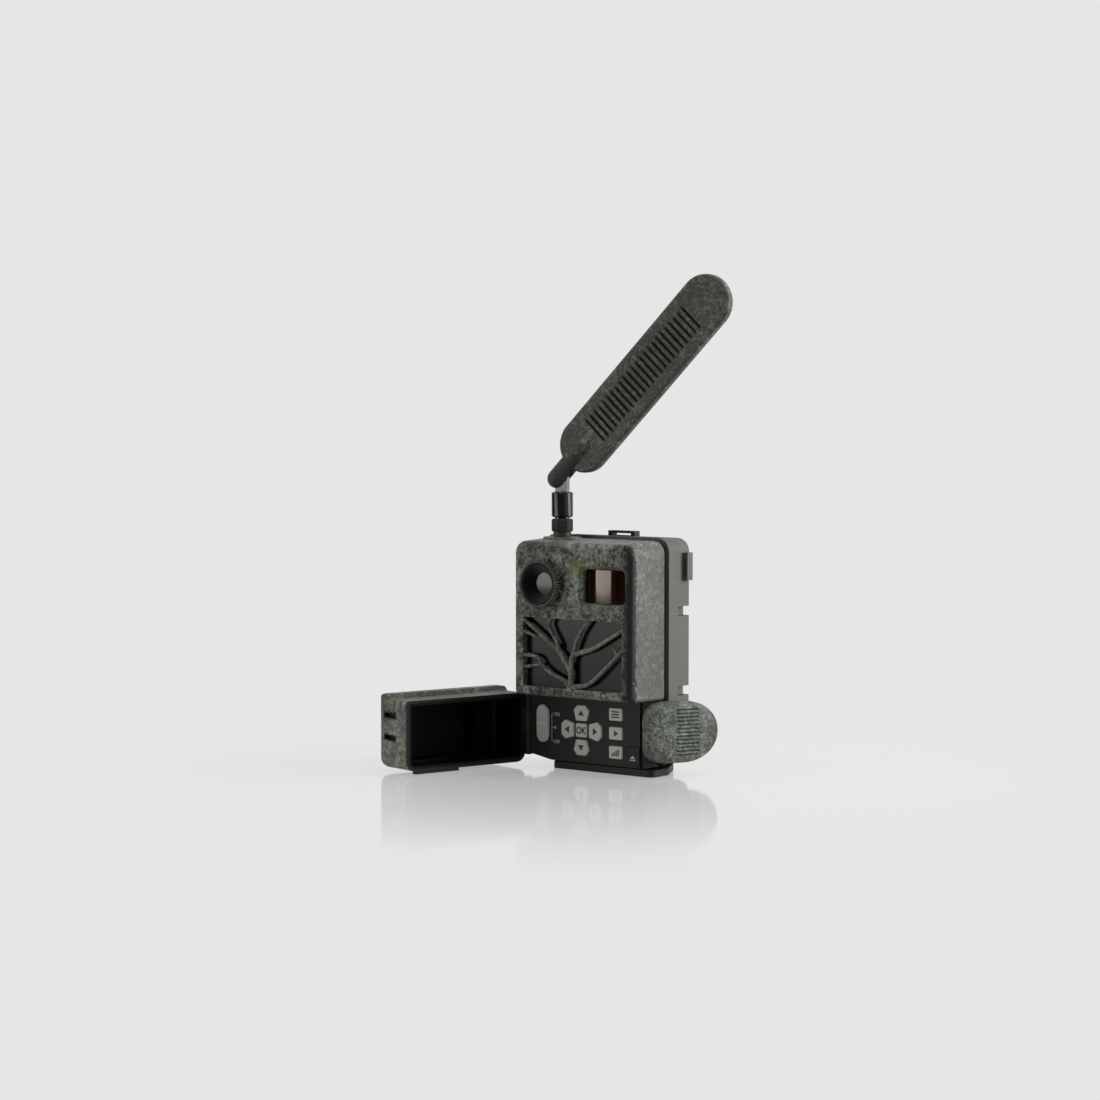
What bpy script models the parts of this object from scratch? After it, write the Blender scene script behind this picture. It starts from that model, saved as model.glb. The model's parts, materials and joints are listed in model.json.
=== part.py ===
# A trail camera: a two-shell body with a branch grille, a control panel behind a side-hinged door,
# a toggle latch, a drop-out battery tray and a swivelling blade antenna.
# Units are metres and +Z is up. The lens looks along -Y. The origin is on the floor under the body.

import math

import bmesh
import bpy
from mathutils import Matrix, Vector

OBJECT_NAME = "trail_camera"

# Clearances
FIT_GAP = 0.0003  # between pieces that seat on each other
TURN_GAP = 0.0003  # between a pin and its bore
OVERCUT = 0.0010  # how far a cutter runs past the face it opens
WEB_INSET = 0.0001  # how far a web stays inside the eye it carries
LEAST_CORNER = 0.0010  # rounding that an inner corner keeps

# Front cover
FRONT_Y = -0.0260  # plane of its front face
COVER_WIDTH = 0.0826
COVER_BOTTOM = 0.0428
COVER_TOP = 0.1300
COVER_DEPTH = 0.0298
COVER_TAPER = 0.0010  # growth of each side from the front face to the seam
COVER_WALL = 0.0022
COVER_CORNER = 0.0070
COVER_LOW_CORNER = 0.0020
COVER_EDGE = 0.0030  # rounding of the front edges
POST_RADIUS = 0.0020

# Lens
LENS_FROM_SIDE = 0.0206
LENS_Z = 0.1064
COLLAR_RADIUS = 0.0131
COLLAR_LENGTH = 0.0045
COLLAR_WALL = 0.0013
COLLAR_FLARE = 0.0006
HOOD_BACK = 0.0065  # how far the hood reaches behind the front face
HOOD_STEPS = 3
HOOD_RIM = 0.0005  # wall of the hood at its mouth
HOOD_STEP_DROP = 0.0003
GLASS_LIP = 0.0006  # how far the hood covers the glass's edge
GLASS_CROWN = 0.0002
GLASS_RADIUS = 0.0067
GLASS_DEPTH = 0.0022  # from the front face to the glass
GLASS_THICK = 0.0012
BARREL_RADIUS = 0.0060

# Motion-sensor window
PIR_FROM_SIDE = 0.0202
PIR_Z = 0.1061
PIR_WIDTH = 0.0290
PIR_HEIGHT = 0.0192
PIR_CORNER = 0.0028
PIR_BEVEL = 0.0020
PIR_RIM = 0.0046  # depth of the bevelled frame
PIR_BULGE = 0.0030
PIR_EDGE_UP = 0.0008  # how far the bulging face's edge stands in front of its bevel
PIR_RIM_THICK = 0.0012
SENSOR_RADIUS = 0.0046
SENSOR_HEIGHT = 0.0042

# Status light
LIGHT_X = -0.0025
LIGHT_Z = 0.1069
LIGHT_RADIUS = 0.0016

# Branch grille in front of the infrared lamps
WINDOW_FROM_SIDE = 0.0065
WINDOW_HEIGHT = 0.0392
WINDOW_Z = 0.0675
WINDOW_CORNER = 0.0018
WINDOW_FRAME = 0.0022
WINDOW_DEPTH = 0.0042
IR_PANE_THICK = 0.0015
BRANCH_RADIUS = 0.00135
# Each branch lists (across, up, thickness) with the window's half sizes and BRANCH_RADIUS as units.
BRANCHES = (
    ((-0.05, -1.08, 2.1), (-0.04, -0.78, 1.3), (-0.03, -0.35, 1.05), (0.01, -0.04, 1.0), (0.37, 0.17, 0.9),
     (0.69, 0.47, 0.8), (1.05, 0.83, 0.75)),
    ((0.00, -0.12, 0.9), (0.04, 0.20, 0.9), (0.17, 0.66, 0.85), (0.37, 1.09, 0.85)),
    ((-0.03, -0.55, 0.9), (-0.19, -0.15, 0.95), (-0.32, 0.12, 0.9), (-0.64, 0.50, 0.85), (-1.04, 0.98, 0.8)),
    ((-0.30, 0.08, 0.8), (-0.31, 0.27, 0.85), (-0.45, 0.66, 0.8), (-0.48, 0.87, 0.8), (-0.38, 1.09, 0.8)),
    ((-1.06, 0.62, 0.9), (-0.90, 0.53, 0.7), (-0.74, 0.43, 0.35)),
    ((-0.05, -0.97, 1.2), (-0.17, -0.78, 1.0), (-0.38, -0.63, 0.85), (-0.54, -0.48, 0.8),
     (-0.64, -0.33, 0.75), (-0.75, -0.13, 0.7), (-1.06, -0.11, 0.75)),
    ((-0.63, -0.35, 0.65), (-0.84, -0.41, 0.65), (-1.06, -0.48, 0.75)),
    ((-0.03, -0.96, 1.2), (0.27, -0.85, 1.0), (0.42, -0.70, 0.85), (0.67, -0.31, 0.75), (0.83, -0.06, 0.7),
     (1.05, 0.34, 0.8)),
    ((0.86, 0.00, 0.6), (0.86, 0.12, 0.5), (0.80, 0.24, 0.35)),
)

# Boards and lamps inside the body
FRONT_BOARD_Y = -0.0103
FRONT_BOARD_FROM_SIDE = 0.0088
FRONT_BOARD_BOTTOM = 0.0490
FRONT_BOARD_TOP = 0.1210
BOARD_THICK = 0.0014
BOARD_CORNER = 0.0020
BOARD_POST_Z = 0.0925
LAMP_RADIUS = 0.0023
LAMP_COLUMNS = 7
LAMP_ROWS = 3
LAMP_PITCH_X = 0.0088
LAMP_PITCH_Z = 0.0115
MAIN_BOARD_Y = 0.0120
MAIN_BOARD_FROM_SIDE = 0.0113
MAIN_BOARD_BOTTOM = 0.0650
MAIN_BOARD_TOP = 0.1250
MAIN_POST_DOWN = 0.0060  # from the main board's top to its upper posts

# Rear shell
GASKET_THICK = 0.0014
GASKET_WIDTH = 0.0022
GASKET_INSET = 0.0010
FLANGE_OUT = 0.0018
FLANGE_THICK = 0.0028
FLANGE_CHAMFER = 0.0005
REAR_INSET = 0.0009
REAR_Y = 0.0279  # plane of its back
REAR_WALL = 0.0020
REAR_CORNER = 0.0080
REAR_EDGE = 0.0022
REAR_BOTTOM = 0.0042
EAR_WIDTH = 0.0186
EAR_HEIGHT = 0.0030
EAR_DEPTH = 0.0050
EAR_SLOT = 0.0013
EAR_BAR = 0.0013
EAR_FOOT = 0.0012  # how far an ear reaches into the wall
SIDE_EAR_TOP = 0.1240
SIDE_EAR_LENGTH = 0.0156
STRAP_NOTCH_HEIGHT = 0.0054
STRAP_NOTCH_DEPTH = 0.0122
STRAP_NOTCH_IN = 0.0050
STRAP_NOTCH_CENTRES = (0.0462, 0.0911)
TRIPOD_Z = 0.0760
TRIPOD_RADIUS = 0.0043
TRIPOD_BORE = 0.0029
TRIPOD_LENGTH = 0.0090
SHELF_DEPTH = 0.0080  # shelf over the contact board

# Body screws
SCREW_FROM_SIDE = 0.0048
SCREW_HEIGHTS = (0.0660, 0.1215)
SCREW_RADIUS = 0.0013
SCREW_HEAD_RADIUS = 0.0027
SCREW_HEAD_HEIGHT = 0.0020
SCREW_LENGTH = 0.0280
SCREW_SINK = 0.0026  # depth of the counterbore
BOSS_RADIUS = 0.0033
BOSS_FRONT = -0.0170  # front end of the cover's bosses, which grow from its side walls

# Control panel
PANEL_Y = -0.0098
PANEL_LEFT_OUT = 0.0006  # from the cover's side to the panel's
PANEL_RIGHT_IN = 0.0057
BLOCK_RIGHT_IN = 0.0033  # to the side of the block behind the panel, level with the closed door's end
PANEL_BOTTOM = 0.0046
PANEL_PLATE = 0.0016
PANEL_WALL = 0.0018
PANEL_CUT_X = 0.0150  # cut corner at the lower left
PANEL_CUT_Z = 0.0028
LEDGE_SET_BACK = 0.0014

# Keys and switch
KEY_RISE = 0.0011
KEY_TRAVEL = 0.0007
KEY_FLANGE = 0.0007
KEY_FLANGE_THICK = 0.0006
PAD_FROM_SIDE_KEYS = 0.0241
PAD_Z = 0.0231
PAD_REACH = 0.0098
PAD_KEY_WIDTH = 0.0110
PAD_KEY_LENGTH = 0.0089
PAD_KEY_CORNER = 0.0009
KEY_CORNER = 0.0008
KEY_CHAMFER = 0.0004
OK_KEY_SIZE = 0.0078
SIDE_KEY_IN = 0.0163  # from the panel's right edge to the side keys' centre
SIDE_KEY_PITCH = 0.0107
SIDE_KEY_WIDTH = 0.0092
SIDE_KEY_HEIGHT = 0.0072
KEY_BOARD_THICK = 0.0010
KEY_POST_RADIUS = 0.0012
KEY_POST_HEIGHTS = (0.0100, 0.0365)
KEY_POST_GAPS = (0.0038, 0.0025)  # from the left key and from the side keys
SWITCH_IN = 0.0097  # from the panel's left edge to the switch's centre
SWITCH_Z = 0.0252
SWITCH_WIDTH = 0.0086
SWITCH_LENGTH = 0.0216
SWITCH_RISE = 0.0016
SWITCH_TRAVEL = 0.0030
SWITCH_STEM = 0.0030
SWITCH_SLOT_SPARE = 0.0032  # what the slot is longer than the stem and its travel
SWITCH_CHAMFER = 0.0006
EJECT_WIDTH = 0.0083
EJECT_HEIGHT = 0.0102
EJECT_UP = 0.0013  # from the panel's lower edge
EJECT_BOARD_GAP = 0.0015

# Battery tray
CELL_RADIUS = 0.0071
CELL_LENGTH = 0.0505
CELL_NUB_RADIUS = 0.0027
CELL_NUB_LENGTH = 0.0012
CELL_COLUMNS = 4
CELL_GAP = 0.0006
TRAY_IN = 0.0046  # from the block's right side to the tray
TRAY_FRONT = -0.0049
TRAY_SHEET = 0.0010
TRAY_END = 0.0015
TRAY_CLEARANCE = 0.0004
BASE_LEFT_IN = 0.0008  # from the tray's left side to the foot's
BASE_RIGHT_OUT = 0.0060  # from the block's right side to the foot's
BASE_CORNER = 0.0035
BASE_CUT_X = 0.0104  # cut corners at the foot's back
BASE_CUT_Y = 0.0200
BASE_FRONT = -0.0093
BASE_THICK = 0.0039
CONTACT_THICK = 0.0012

# Door, drawn closed and turned open about its hinge
HINGE_OUT = 0.0025  # from the panel's left edge to the hinge axis
HINGE_Y = -0.0086
DOOR_OPEN_DEG = 105.5
KNUCKLE_RADIUS = 0.0022
HINGE_PIN_RADIUS = 0.0010
KNUCKLE_ENDS = (0.0065, 0.0200, 0.0310, 0.0412)
DOOR_SIDE_GAP = 0.0010  # from the hinge axis to the door's side wall
DOOR_BOTTOM = 0.0021
DOOR_RIM_GAP = 0.0006  # from the panel to the rim
DOOR_DEPTH = 0.0290
DOOR_WALL = 0.0016
DOOR_TOP_CORNER = 0.0022
DOOR_LOW_CORNER = 0.0056
DOOR_EDGE = 0.0034
DOOR_BROW = 0.0024  # rise of the part that closes in front of the cover
DOOR_BROW_GAP = 0.0008
DOOR_BROW_RAMP = 0.0022
LINER_WALL = 0.0010
LINER_SET_BACK = 0.0011
DOOR_SEAL_WIDTH = 0.0007  # clears the switch at the top of its travel
LINER_RIB_X = 0.0225
LINER_RIB_HEIGHT = 0.0100
LEDGE_START = 0.0280
LEDGE_FROM_END = 0.0094
BAR_SET_BACK = 0.0140  # from the rim to the low bar on the liner's floor
LEDGE_WIDTH = 0.0015
LEDGE_RISE = 0.0014
SKIRT_LENGTH = 0.0350
SKIRT_DROP = 0.0016
SKIRT_THICK = 0.0030
CLAW_HEIGHTS = (0.0200, 0.0325)
CLAW_LENGTH = 0.0100
CLAW_THICK = 0.0018
CLAW_REACH = 0.0022
CLAW_SETBACK = 0.0086  # from the lever's front edge to the claws
SLOT_GAP = 0.0003

# Latch lever and link
LEVER_LENGTH = 0.0452
LEVER_FRONT_HALF = 0.0235  # front edge to the widest line
LEVER_HEIGHT = 0.0344
LEVER_Z = 0.0249
LEVER_RIM = 0.0045
LEVER_TOP = 0.0086
LEVER_WALL = 0.0015
LEVER_FRONT_POWER = 4.5
LEVER_NOSE_POWER = 2.1
LEVER_OPEN_DEG = 26.0
LEVER_OPEN_OUT = 0.0005  # from the block's side to the inner front edge with the latch open
LEVER_OPEN_Y = -0.0117
LEVER_CLOSED_FRONT_Y = -0.0415
LEVER_CLOSED_GAP = 0.0007  # from the door's end to the closed lever
LEVER_PIN_UP = 0.0026  # from the lever's inner plane to its pin
LATCH_POST_OUT = 0.0029  # from the block's side to the post
LATCH_EYE_RADIUS = 0.0018
LATCH_PIN_RADIUS = 0.0009
LATCH_LUG_THICK = 0.0020
LATCH_LINK_HEIGHT = 0.0044
LATCH_Z = 0.0263
RIB_COUNT = 13
RIB_PITCH = 0.0021
RIB_LENGTH = 0.0158
RIB_START = 0.0164
RIB_RADIUS = 0.0006

# Antenna
ANTENNA_FROM_LENS = 0.0020  # how far the socket is outside the lens
ANTENNA_Y = -0.0050
ANTENNA_TURN_DEG = 7.6
ANTENNA_TILT_DEG = 43.9
PAD_WIDTH = 0.0230
PAD_DEPTH = 0.0145
PAD_TOP = 0.1318
PAD_SPREAD = 1.1  # size of the pad's foot against its top
SOCKET_FLANGE_RADIUS = 0.0051
SOCKET_FLANGE_THICK = 0.0025
SOCKET_POST_RADIUS = 0.0030
NUT_RADIUS = 0.0061
NUT_HEIGHT = 0.0071
NUT_RIDGES = 22
NUT_GROOVE = 0.0004
NUT_CHAMFER = 0.0006
NUT_END_SHARE = 0.93  # the nut's ends as a share of its radius
POST_TOP_DOWN = 0.0010  # from the nut's top to the socket's post
POST_TAIL = 0.0040  # how far the post reaches below the cover's wall
MAST_RADIUS = 0.0061
MAST_HEIGHT = 0.0142
MAST_NECK_RADIUS = 0.0044
MAST_NECK = 0.0008
MAST_CHAMFER = 0.0006
TONGUE_THICK = 0.0030
TONGUE_WIDTH = 0.0078
TONGUE_SEAT = 0.0060
PIVOT_RISE = 0.0111  # from the mast's top to the tilt axis
PIVOT_PIN_RADIUS = 0.0012
STEM_RADIUS = 0.0056
STEM_TAIL = 0.0106  # from the tilt axis to the rounded lower end
STEM_SHOULDER = 0.0185
STEM_TIP = 0.0325
STEM_TIP_RADIUS = 0.0036
FORK_SPARE = 0.0010  # how far the fork's slot reaches past the tongue
BLADE_LIFT = 0.0217  # from the tilt axis to the lower end's centre
BLADE_LENGTH = 0.1409
BLADE_WIDTH = 0.0312
BLADE_HALF_THICK = 0.0031
BLADE_EDGE = 0.0022
GROOVE_COUNT = 18
GROOVE_PITCH = 0.0051
GROOVE_START = 0.0116  # from the lower end's centre to the first groove
GROOVE_LENGTH = 0.0190
GROOVE_WIDTH = 0.0013
GROOVE_DEPTH = 0.0009
END_GROOVE_SHARE = 0.8  # length of the first and last groove

# Places that follow from the sizes above
COVER_SIDE = COVER_WIDTH / 2
LENS_X = LENS_FROM_SIDE - COVER_SIDE
PIR_X = COVER_SIDE - PIR_FROM_SIDE
SCREW_X = COVER_SIDE - SCREW_FROM_SIDE
WINDOW_WIDTH = COVER_WIDTH - 2 * WINDOW_FROM_SIDE
FRONT_BOARD_WIDTH = COVER_WIDTH - 2 * FRONT_BOARD_FROM_SIDE
MAIN_BOARD_WIDTH = COVER_WIDTH - 2 * MAIN_BOARD_FROM_SIDE
PANEL_LEFT = -COVER_SIDE - PANEL_LEFT_OUT
PANEL_RIGHT = COVER_SIDE - PANEL_RIGHT_IN
BLOCK_RIGHT = COVER_SIDE - BLOCK_RIGHT_IN
SWITCH_X = PANEL_LEFT + SWITCH_IN
SIDE_KEY_X = PANEL_RIGHT - SIDE_KEY_IN
PAD_X = SIDE_KEY_X - PAD_FROM_SIDE_KEYS
HINGE_X = PANEL_LEFT - HINGE_OUT
LATCH_POST_X = BLOCK_RIGHT + LATCH_POST_OUT
LEVER_OPEN_FRONT = (BLOCK_RIGHT + LEVER_OPEN_OUT, LEVER_OPEN_Y)
ANTENNA_X = LENS_X - ANTENNA_FROM_LENS
SEAM_Y = FRONT_Y + COVER_DEPTH
GASKET_Y = SEAM_Y + FIT_GAP
FLANGE_Y = GASKET_Y + GASKET_THICK + FIT_GAP
SEAM_WIDTH = COVER_WIDTH + 2 * COVER_TAPER
SEAM_TOP = COVER_TOP + COVER_TAPER
SEAM_BOTTOM = COVER_BOTTOM - COVER_TAPER
FLANGE_WIDTH = SEAM_WIDTH + 2 * FLANGE_OUT
FLANGE_TOP = SEAM_TOP + FLANGE_OUT
SIDE_X = FLANGE_WIDTH / 2 - REAR_INSET
INNER_BACK = REAR_Y - REAR_WALL
BLOCK_TOP = SEAM_BOTTOM - FIT_GAP
BLOCK_BACK = FLANGE_Y - FIT_GAP
TRAY_WIDTH = CELL_COLUMNS * (2 * CELL_RADIUS + CELL_GAP) + 2 * TRAY_SHEET
FRONT_ROW_Y = TRAY_FRONT + CELL_RADIUS
WEB_Y = FRONT_ROW_Y + CELL_RADIUS + FIT_GAP
BACK_ROW_Y = WEB_Y + TRAY_SHEET + FIT_GAP + CELL_RADIUS
TRAY_BACK = BACK_ROW_Y + CELL_RADIUS
CELL_BOTTOM = BASE_THICK + TRAY_END + FIT_GAP
TRAY_TOP = CELL_BOTTOM + CELL_LENGTH + FIT_GAP + TRAY_END
TRAY_RIGHT = BLOCK_RIGHT - TRAY_IN
TRAY_LEFT = TRAY_RIGHT - TRAY_WIDTH
TRAY_X = (TRAY_LEFT + TRAY_RIGHT) / 2
BASE_LEFT = TRAY_LEFT + BASE_LEFT_IN
BASE_RIGHT = BLOCK_RIGHT + BASE_RIGHT_OUT
BASE_BACK = REAR_Y - REAR_EDGE
CONTACT_Z = TRAY_TOP + TRAY_CLEARANCE
KEY_BACK = PANEL_PLATE + FIT_GAP + KEY_FLANGE_THICK  # from the panel's face to a key's back
KEY_BOARD_Y = PANEL_Y + KEY_BACK + KEY_TRAVEL + FIT_GAP
DOOR_TOP = SEAM_BOTTOM
DOOR_LEFT = DOOR_SIDE_GAP
DOOR_RIGHT = BLOCK_RIGHT - HINGE_X
DOOR_RIM = PANEL_Y - DOOR_RIM_GAP - HINGE_Y
DOOR_FACE = DOOR_RIM - DOOR_DEPTH
LEVER_CLOSED_X = BLOCK_RIGHT + LEVER_CLOSED_GAP
PAD_HOLE_RADIUS = SOCKET_POST_RADIUS + FIT_GAP
SOCKET_TOP = PAD_TOP + FIT_GAP + SOCKET_FLANGE_THICK
NUT_BOTTOM = SOCKET_TOP + FIT_GAP
MAST_BOTTOM = NUT_BOTTOM + NUT_HEIGHT + FIT_GAP
MAST_TOP = MAST_BOTTOM + MAST_NECK + MAST_HEIGHT
PIVOT_Z = MAST_TOP + PIVOT_RISE

# Finishes: colour, roughness, metallic
CAMO = ((0.115, 0.130, 0.115), 0.62, 0.0)
SHELL = ((0.190, 0.180, 0.165), 0.55, 0.0)
BLACK = ((0.012, 0.012, 0.013), 0.45, 0.0)
PANEL_GREY = ((0.020, 0.020, 0.022), 0.55, 0.0)
RUBBER = ((0.010, 0.010, 0.010), 0.80, 0.0)
KEY_GREY = ((0.400, 0.400, 0.370), 0.50, 0.0)
GLASS = ((0.160, 0.165, 0.170), 0.08, 0.0)
PIR_BROWN = ((0.030, 0.014, 0.010), 0.12, 0.0)
IR_BLACK = ((0.030, 0.030, 0.032), 0.10, 0.0)
BOARD_GREEN = ((0.015, 0.090, 0.040), 0.50, 0.0)
STEEL = ((0.560, 0.560, 0.560), 0.30, 1.0)
DARK_METAL = ((0.030, 0.030, 0.032), 0.35, 0.8)
BRASS = ((0.600, 0.420, 0.160), 0.35, 1.0)
LAMP = ((0.600, 0.620, 0.600), 0.20, 0.0)
CELL = ((0.060, 0.070, 0.075), 0.35, 0.3)


# Scene and objects

def new_collection(name):
    made = bpy.data.collections.new(name)
    bpy.context.scene.collection.children.link(made)
    return made


def material(name, finish):
    colour, roughness, metallic = finish
    made = bpy.data.materials.new(name)
    made.use_nodes = True
    shader = made.node_tree.nodes["Principled BSDF"]
    shader.inputs["Base Color"].default_value = (*colour, 1.0)
    shader.inputs["Roughness"].default_value = roughness
    shader.inputs["Metallic"].default_value = metallic
    return made


def part(name, mesh, finish, parent=None, location=(0, 0, 0), rotation=(0, 0, 0)):
    mesh.shade_smooth()
    mesh.set_sharp_from_angle(angle=math.radians(35))
    mesh.materials.append(material(name, finish))
    made = bpy.data.objects.new(name, mesh)
    made.parent = parent
    made.location = location
    made.rotation_euler = rotation
    PARTS.objects.link(made)
    return made


def pivot(name, location, rotation=(0, 0, 0), parent=None):
    made = bpy.data.objects.new(name, None)
    made.empty_display_size = 0.01
    made.location = location
    made.rotation_euler = rotation
    made.parent = parent
    PARTS.objects.link(made)
    return made


def boolean(target, mesh, operation):
    helper = bpy.data.objects.new(mesh.name, mesh)
    helper.hide_render = True
    helper.display_type = "WIRE"
    helper.parent = target.parent
    helper.location = target.location
    helper.rotation_euler = target.rotation_euler
    CUTTERS.objects.link(helper)
    step = target.modifiers.new(mesh.name, "BOOLEAN")
    step.operation = operation
    step.solver = "EXACT"
    step.object = helper


def cut(target, mesh):
    boolean(target, mesh, "DIFFERENCE")


def join(target, mesh):
    boolean(target, mesh, "UNION")


# Meshes

def mesh_of(bm, name):
    bmesh.ops.recalc_face_normals(bm, faces=bm.faces)
    mesh = bpy.data.meshes.new(name)
    bm.to_mesh(mesh)
    bm.free()
    return mesh


def loft(name, rings):
    bm = bmesh.new()
    rows = [[bm.verts.new(point) for point in ring] for ring in rings]
    for low, high in zip(rows, rows[1:]):
        for i in range(len(low)):
            j = (i + 1) % len(low)
            bm.faces.new((low[i], low[j], high[j], high[i]))
    bm.faces.new(rows[0])
    bm.faces.new(list(reversed(rows[-1])))
    return mesh_of(bm, name)


def box(name, low, high):
    low, high = Vector(low), Vector(high)
    bm = bmesh.new()
    place = Matrix.Translation((low + high) / 2) @ Matrix.Diagonal((*(high - low), 1))
    bmesh.ops.create_cube(bm, size=1, matrix=place)
    return mesh_of(bm, name)


def rod(name, start, end, radius, sides=16, end_radius=None):
    start, end = Vector(start), Vector(end)
    along = end - start
    place = Matrix.Translation((start + end) / 2) @ along.to_track_quat("Z", "Y").to_matrix().to_4x4()
    last = radius if end_radius is None else end_radius
    bm = bmesh.new()
    bmesh.ops.create_cone(bm, cap_ends=True, segments=sides, radius1=radius, radius2=last,
                          depth=along.length, matrix=place)
    return mesh_of(bm, name)


def upright_rod(name, x, y, low, high, radius, sides=16):
    return rod(name, (x, y, low), (x, y, high), radius, sides)


def deep_rod(name, x, z, front, back, radius, sides=16, end_radius=None):
    return rod(name, (x, front, z), (x, back, z), radius, sides, end_radius)


def merged(name, meshes):
    bm = bmesh.new()
    for mesh in meshes:
        bm.from_mesh(mesh)
    return mesh_of(bm, name)


def turned(name, profile, finish, closed=False, sides=24, **place):
    edges = [(i, i + 1) for i in range(len(profile) - 1)]
    if closed:
        edges.append((len(profile) - 1, 0))
    mesh = bpy.data.meshes.new(name)
    mesh.from_pydata([(radius, 0, height) for radius, height in profile], edges, [])
    made = part(name, mesh, finish, **place)
    screw = made.modifiers.new("turn", "SCREW")
    screw.steps = sides
    screw.render_steps = sides
    screw.use_merge_vertices = True
    screw.merge_threshold = 0.00001
    return made


def tube(name, points, radii, sides_step=1, steps=2):
    curve = bpy.data.curves.new(name, "CURVE")
    curve.dimensions = "3D"
    curve.bevel_depth = 1.0
    curve.bevel_resolution = sides_step
    curve.resolution_u = steps
    curve.use_fill_caps = True
    spline = curve.splines.new("BEZIER")
    spline.bezier_points.add(len(points) - 1)
    for knot, point, radius in zip(spline.bezier_points, points, radii):
        knot.co = point
        knot.radius = radius
        knot.handle_left_type = "AUTO"
        knot.handle_right_type = "AUTO"
    holder = bpy.data.objects.new(name, curve)
    CUTTERS.objects.link(holder)
    bpy.context.view_layer.update()
    mesh = bpy.data.meshes.new_from_object(holder)
    bpy.data.objects.remove(holder, do_unlink=True)
    bm = bmesh.new()
    bm.from_mesh(mesh)
    bmesh.ops.remove_doubles(bm, verts=bm.verts, dist=0.000001)
    made = mesh_of(bm, name)
    return made


# Outlines, as (across, up) points round a centre

def rounded_rect(width, height, radius, steps=4, low_radius=None):
    points = []
    for quarter, (sx, sz) in enumerate(((1, 1), (-1, 1), (-1, -1), (1, -1))):
        bend = radius if sz > 0 or low_radius is None else low_radius
        for step in range(steps + 1):
            angle = math.radians(90 * (quarter + step / steps))
            across = sx * (width / 2 - bend) + bend * math.cos(angle)
            up = sz * (height / 2 - bend) + bend * math.sin(angle)
            points.append((across, up))
    return points


def rounded_polygon(corners, radius, steps=2):
    points = []
    for i, corner in enumerate(corners):
        here = Vector(corner)
        back = (Vector(corners[i - 1]) - here).normalized()
        ahead = (Vector(corners[(i + 1) % len(corners)]) - here).normalized()
        half = back.angle(ahead) / 2
        centre = here + (back + ahead).normalized() * radius / math.sin(half)
        first = here + back * radius / math.tan(half) - centre
        last = here + ahead * radius / math.tan(half) - centre
        sweep = first.angle_signed(last)
        for step in range(steps + 1):
            turn = Matrix.Rotation(-sweep * step / steps, 2)
            points.append(tuple(centre + turn @ first))
    return points


def stadium(width, length, steps=8):
    radius = width / 2
    reach = (length - width) / 2
    points = []
    for sign, start in ((1, 0), (-1, 180)):
        for step in range(steps + 1):
            angle = math.radians(start + 180 * step / steps)
            points.append((radius * math.cos(angle), sign * reach + radius * math.sin(angle)))
    return points


def scaled(outline, across, up=None):
    return [(x * across, z * (across if up is None else up)) for x, z in outline]


def facing(outline, y, x=0.0, z=0.0):
    return [(x + across, y, z + up) for across, up in outline]


def level(outline, z, x=0.0, y=0.0):
    return [(x + across, y + up, z) for across, up in outline]


def slab(name, outline, front, back, x=0.0, z=0.0):
    return loft(name, [facing(outline, front, x, z), facing(outline, back, x, z)])


def plate(name, outline, low, high, x=0.0, y=0.0):
    return loft(name, [level(outline, low, x, y), level(outline, high, x, y)])


# Front cover with the branch grille

def cover_ring(y, inset):
    grow = COVER_TAPER * (y - FRONT_Y) / COVER_DEPTH - inset
    height = COVER_TOP - COVER_BOTTOM
    radius = max(COVER_CORNER - inset, LEAST_CORNER)
    low_radius = max(COVER_LOW_CORNER - inset, LEAST_CORNER)
    outline = rounded_rect(COVER_WIDTH + 2 * grow, height + 2 * grow, radius, 4, low_radius)
    return facing(outline, y, 0, (COVER_TOP + COVER_BOTTOM) / 2)


def rounded_front(make_ring, front, edge, steps=3):
    rings = []
    for step in range(steps + 1):
        angle = math.radians(90 * step / steps)
        rings.append(make_ring(front + edge * (1 - math.cos(angle)), edge * (1 - math.sin(angle))))
    return rings


def tray_way(name, low, high):
    return box(name, (TRAY_LEFT - TRAY_CLEARANCE, TRAY_FRONT - TRAY_CLEARANCE, low),
               (TRAY_RIGHT + TRAY_CLEARANCE, TRAY_BACK + TRAY_CLEARANCE, high))


def branch_mesh(number, knots):
    axis_y = FRONT_Y + BRANCH_RADIUS
    points = [(across * WINDOW_WIDTH / 2, axis_y, WINDOW_Z + up * WINDOW_HEIGHT / 2)
              for across, up, _ in knots]
    return tube(f"branch_{number}", points, [thickness * BRANCH_RADIUS for _, _, thickness in knots])


def pane_outline():
    seat = 2 * WINDOW_FRAME - 2 * FIT_GAP
    return rounded_rect(WINDOW_WIDTH + seat, WINDOW_HEIGHT + seat, WINDOW_CORNER + WINDOW_FRAME)


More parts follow.
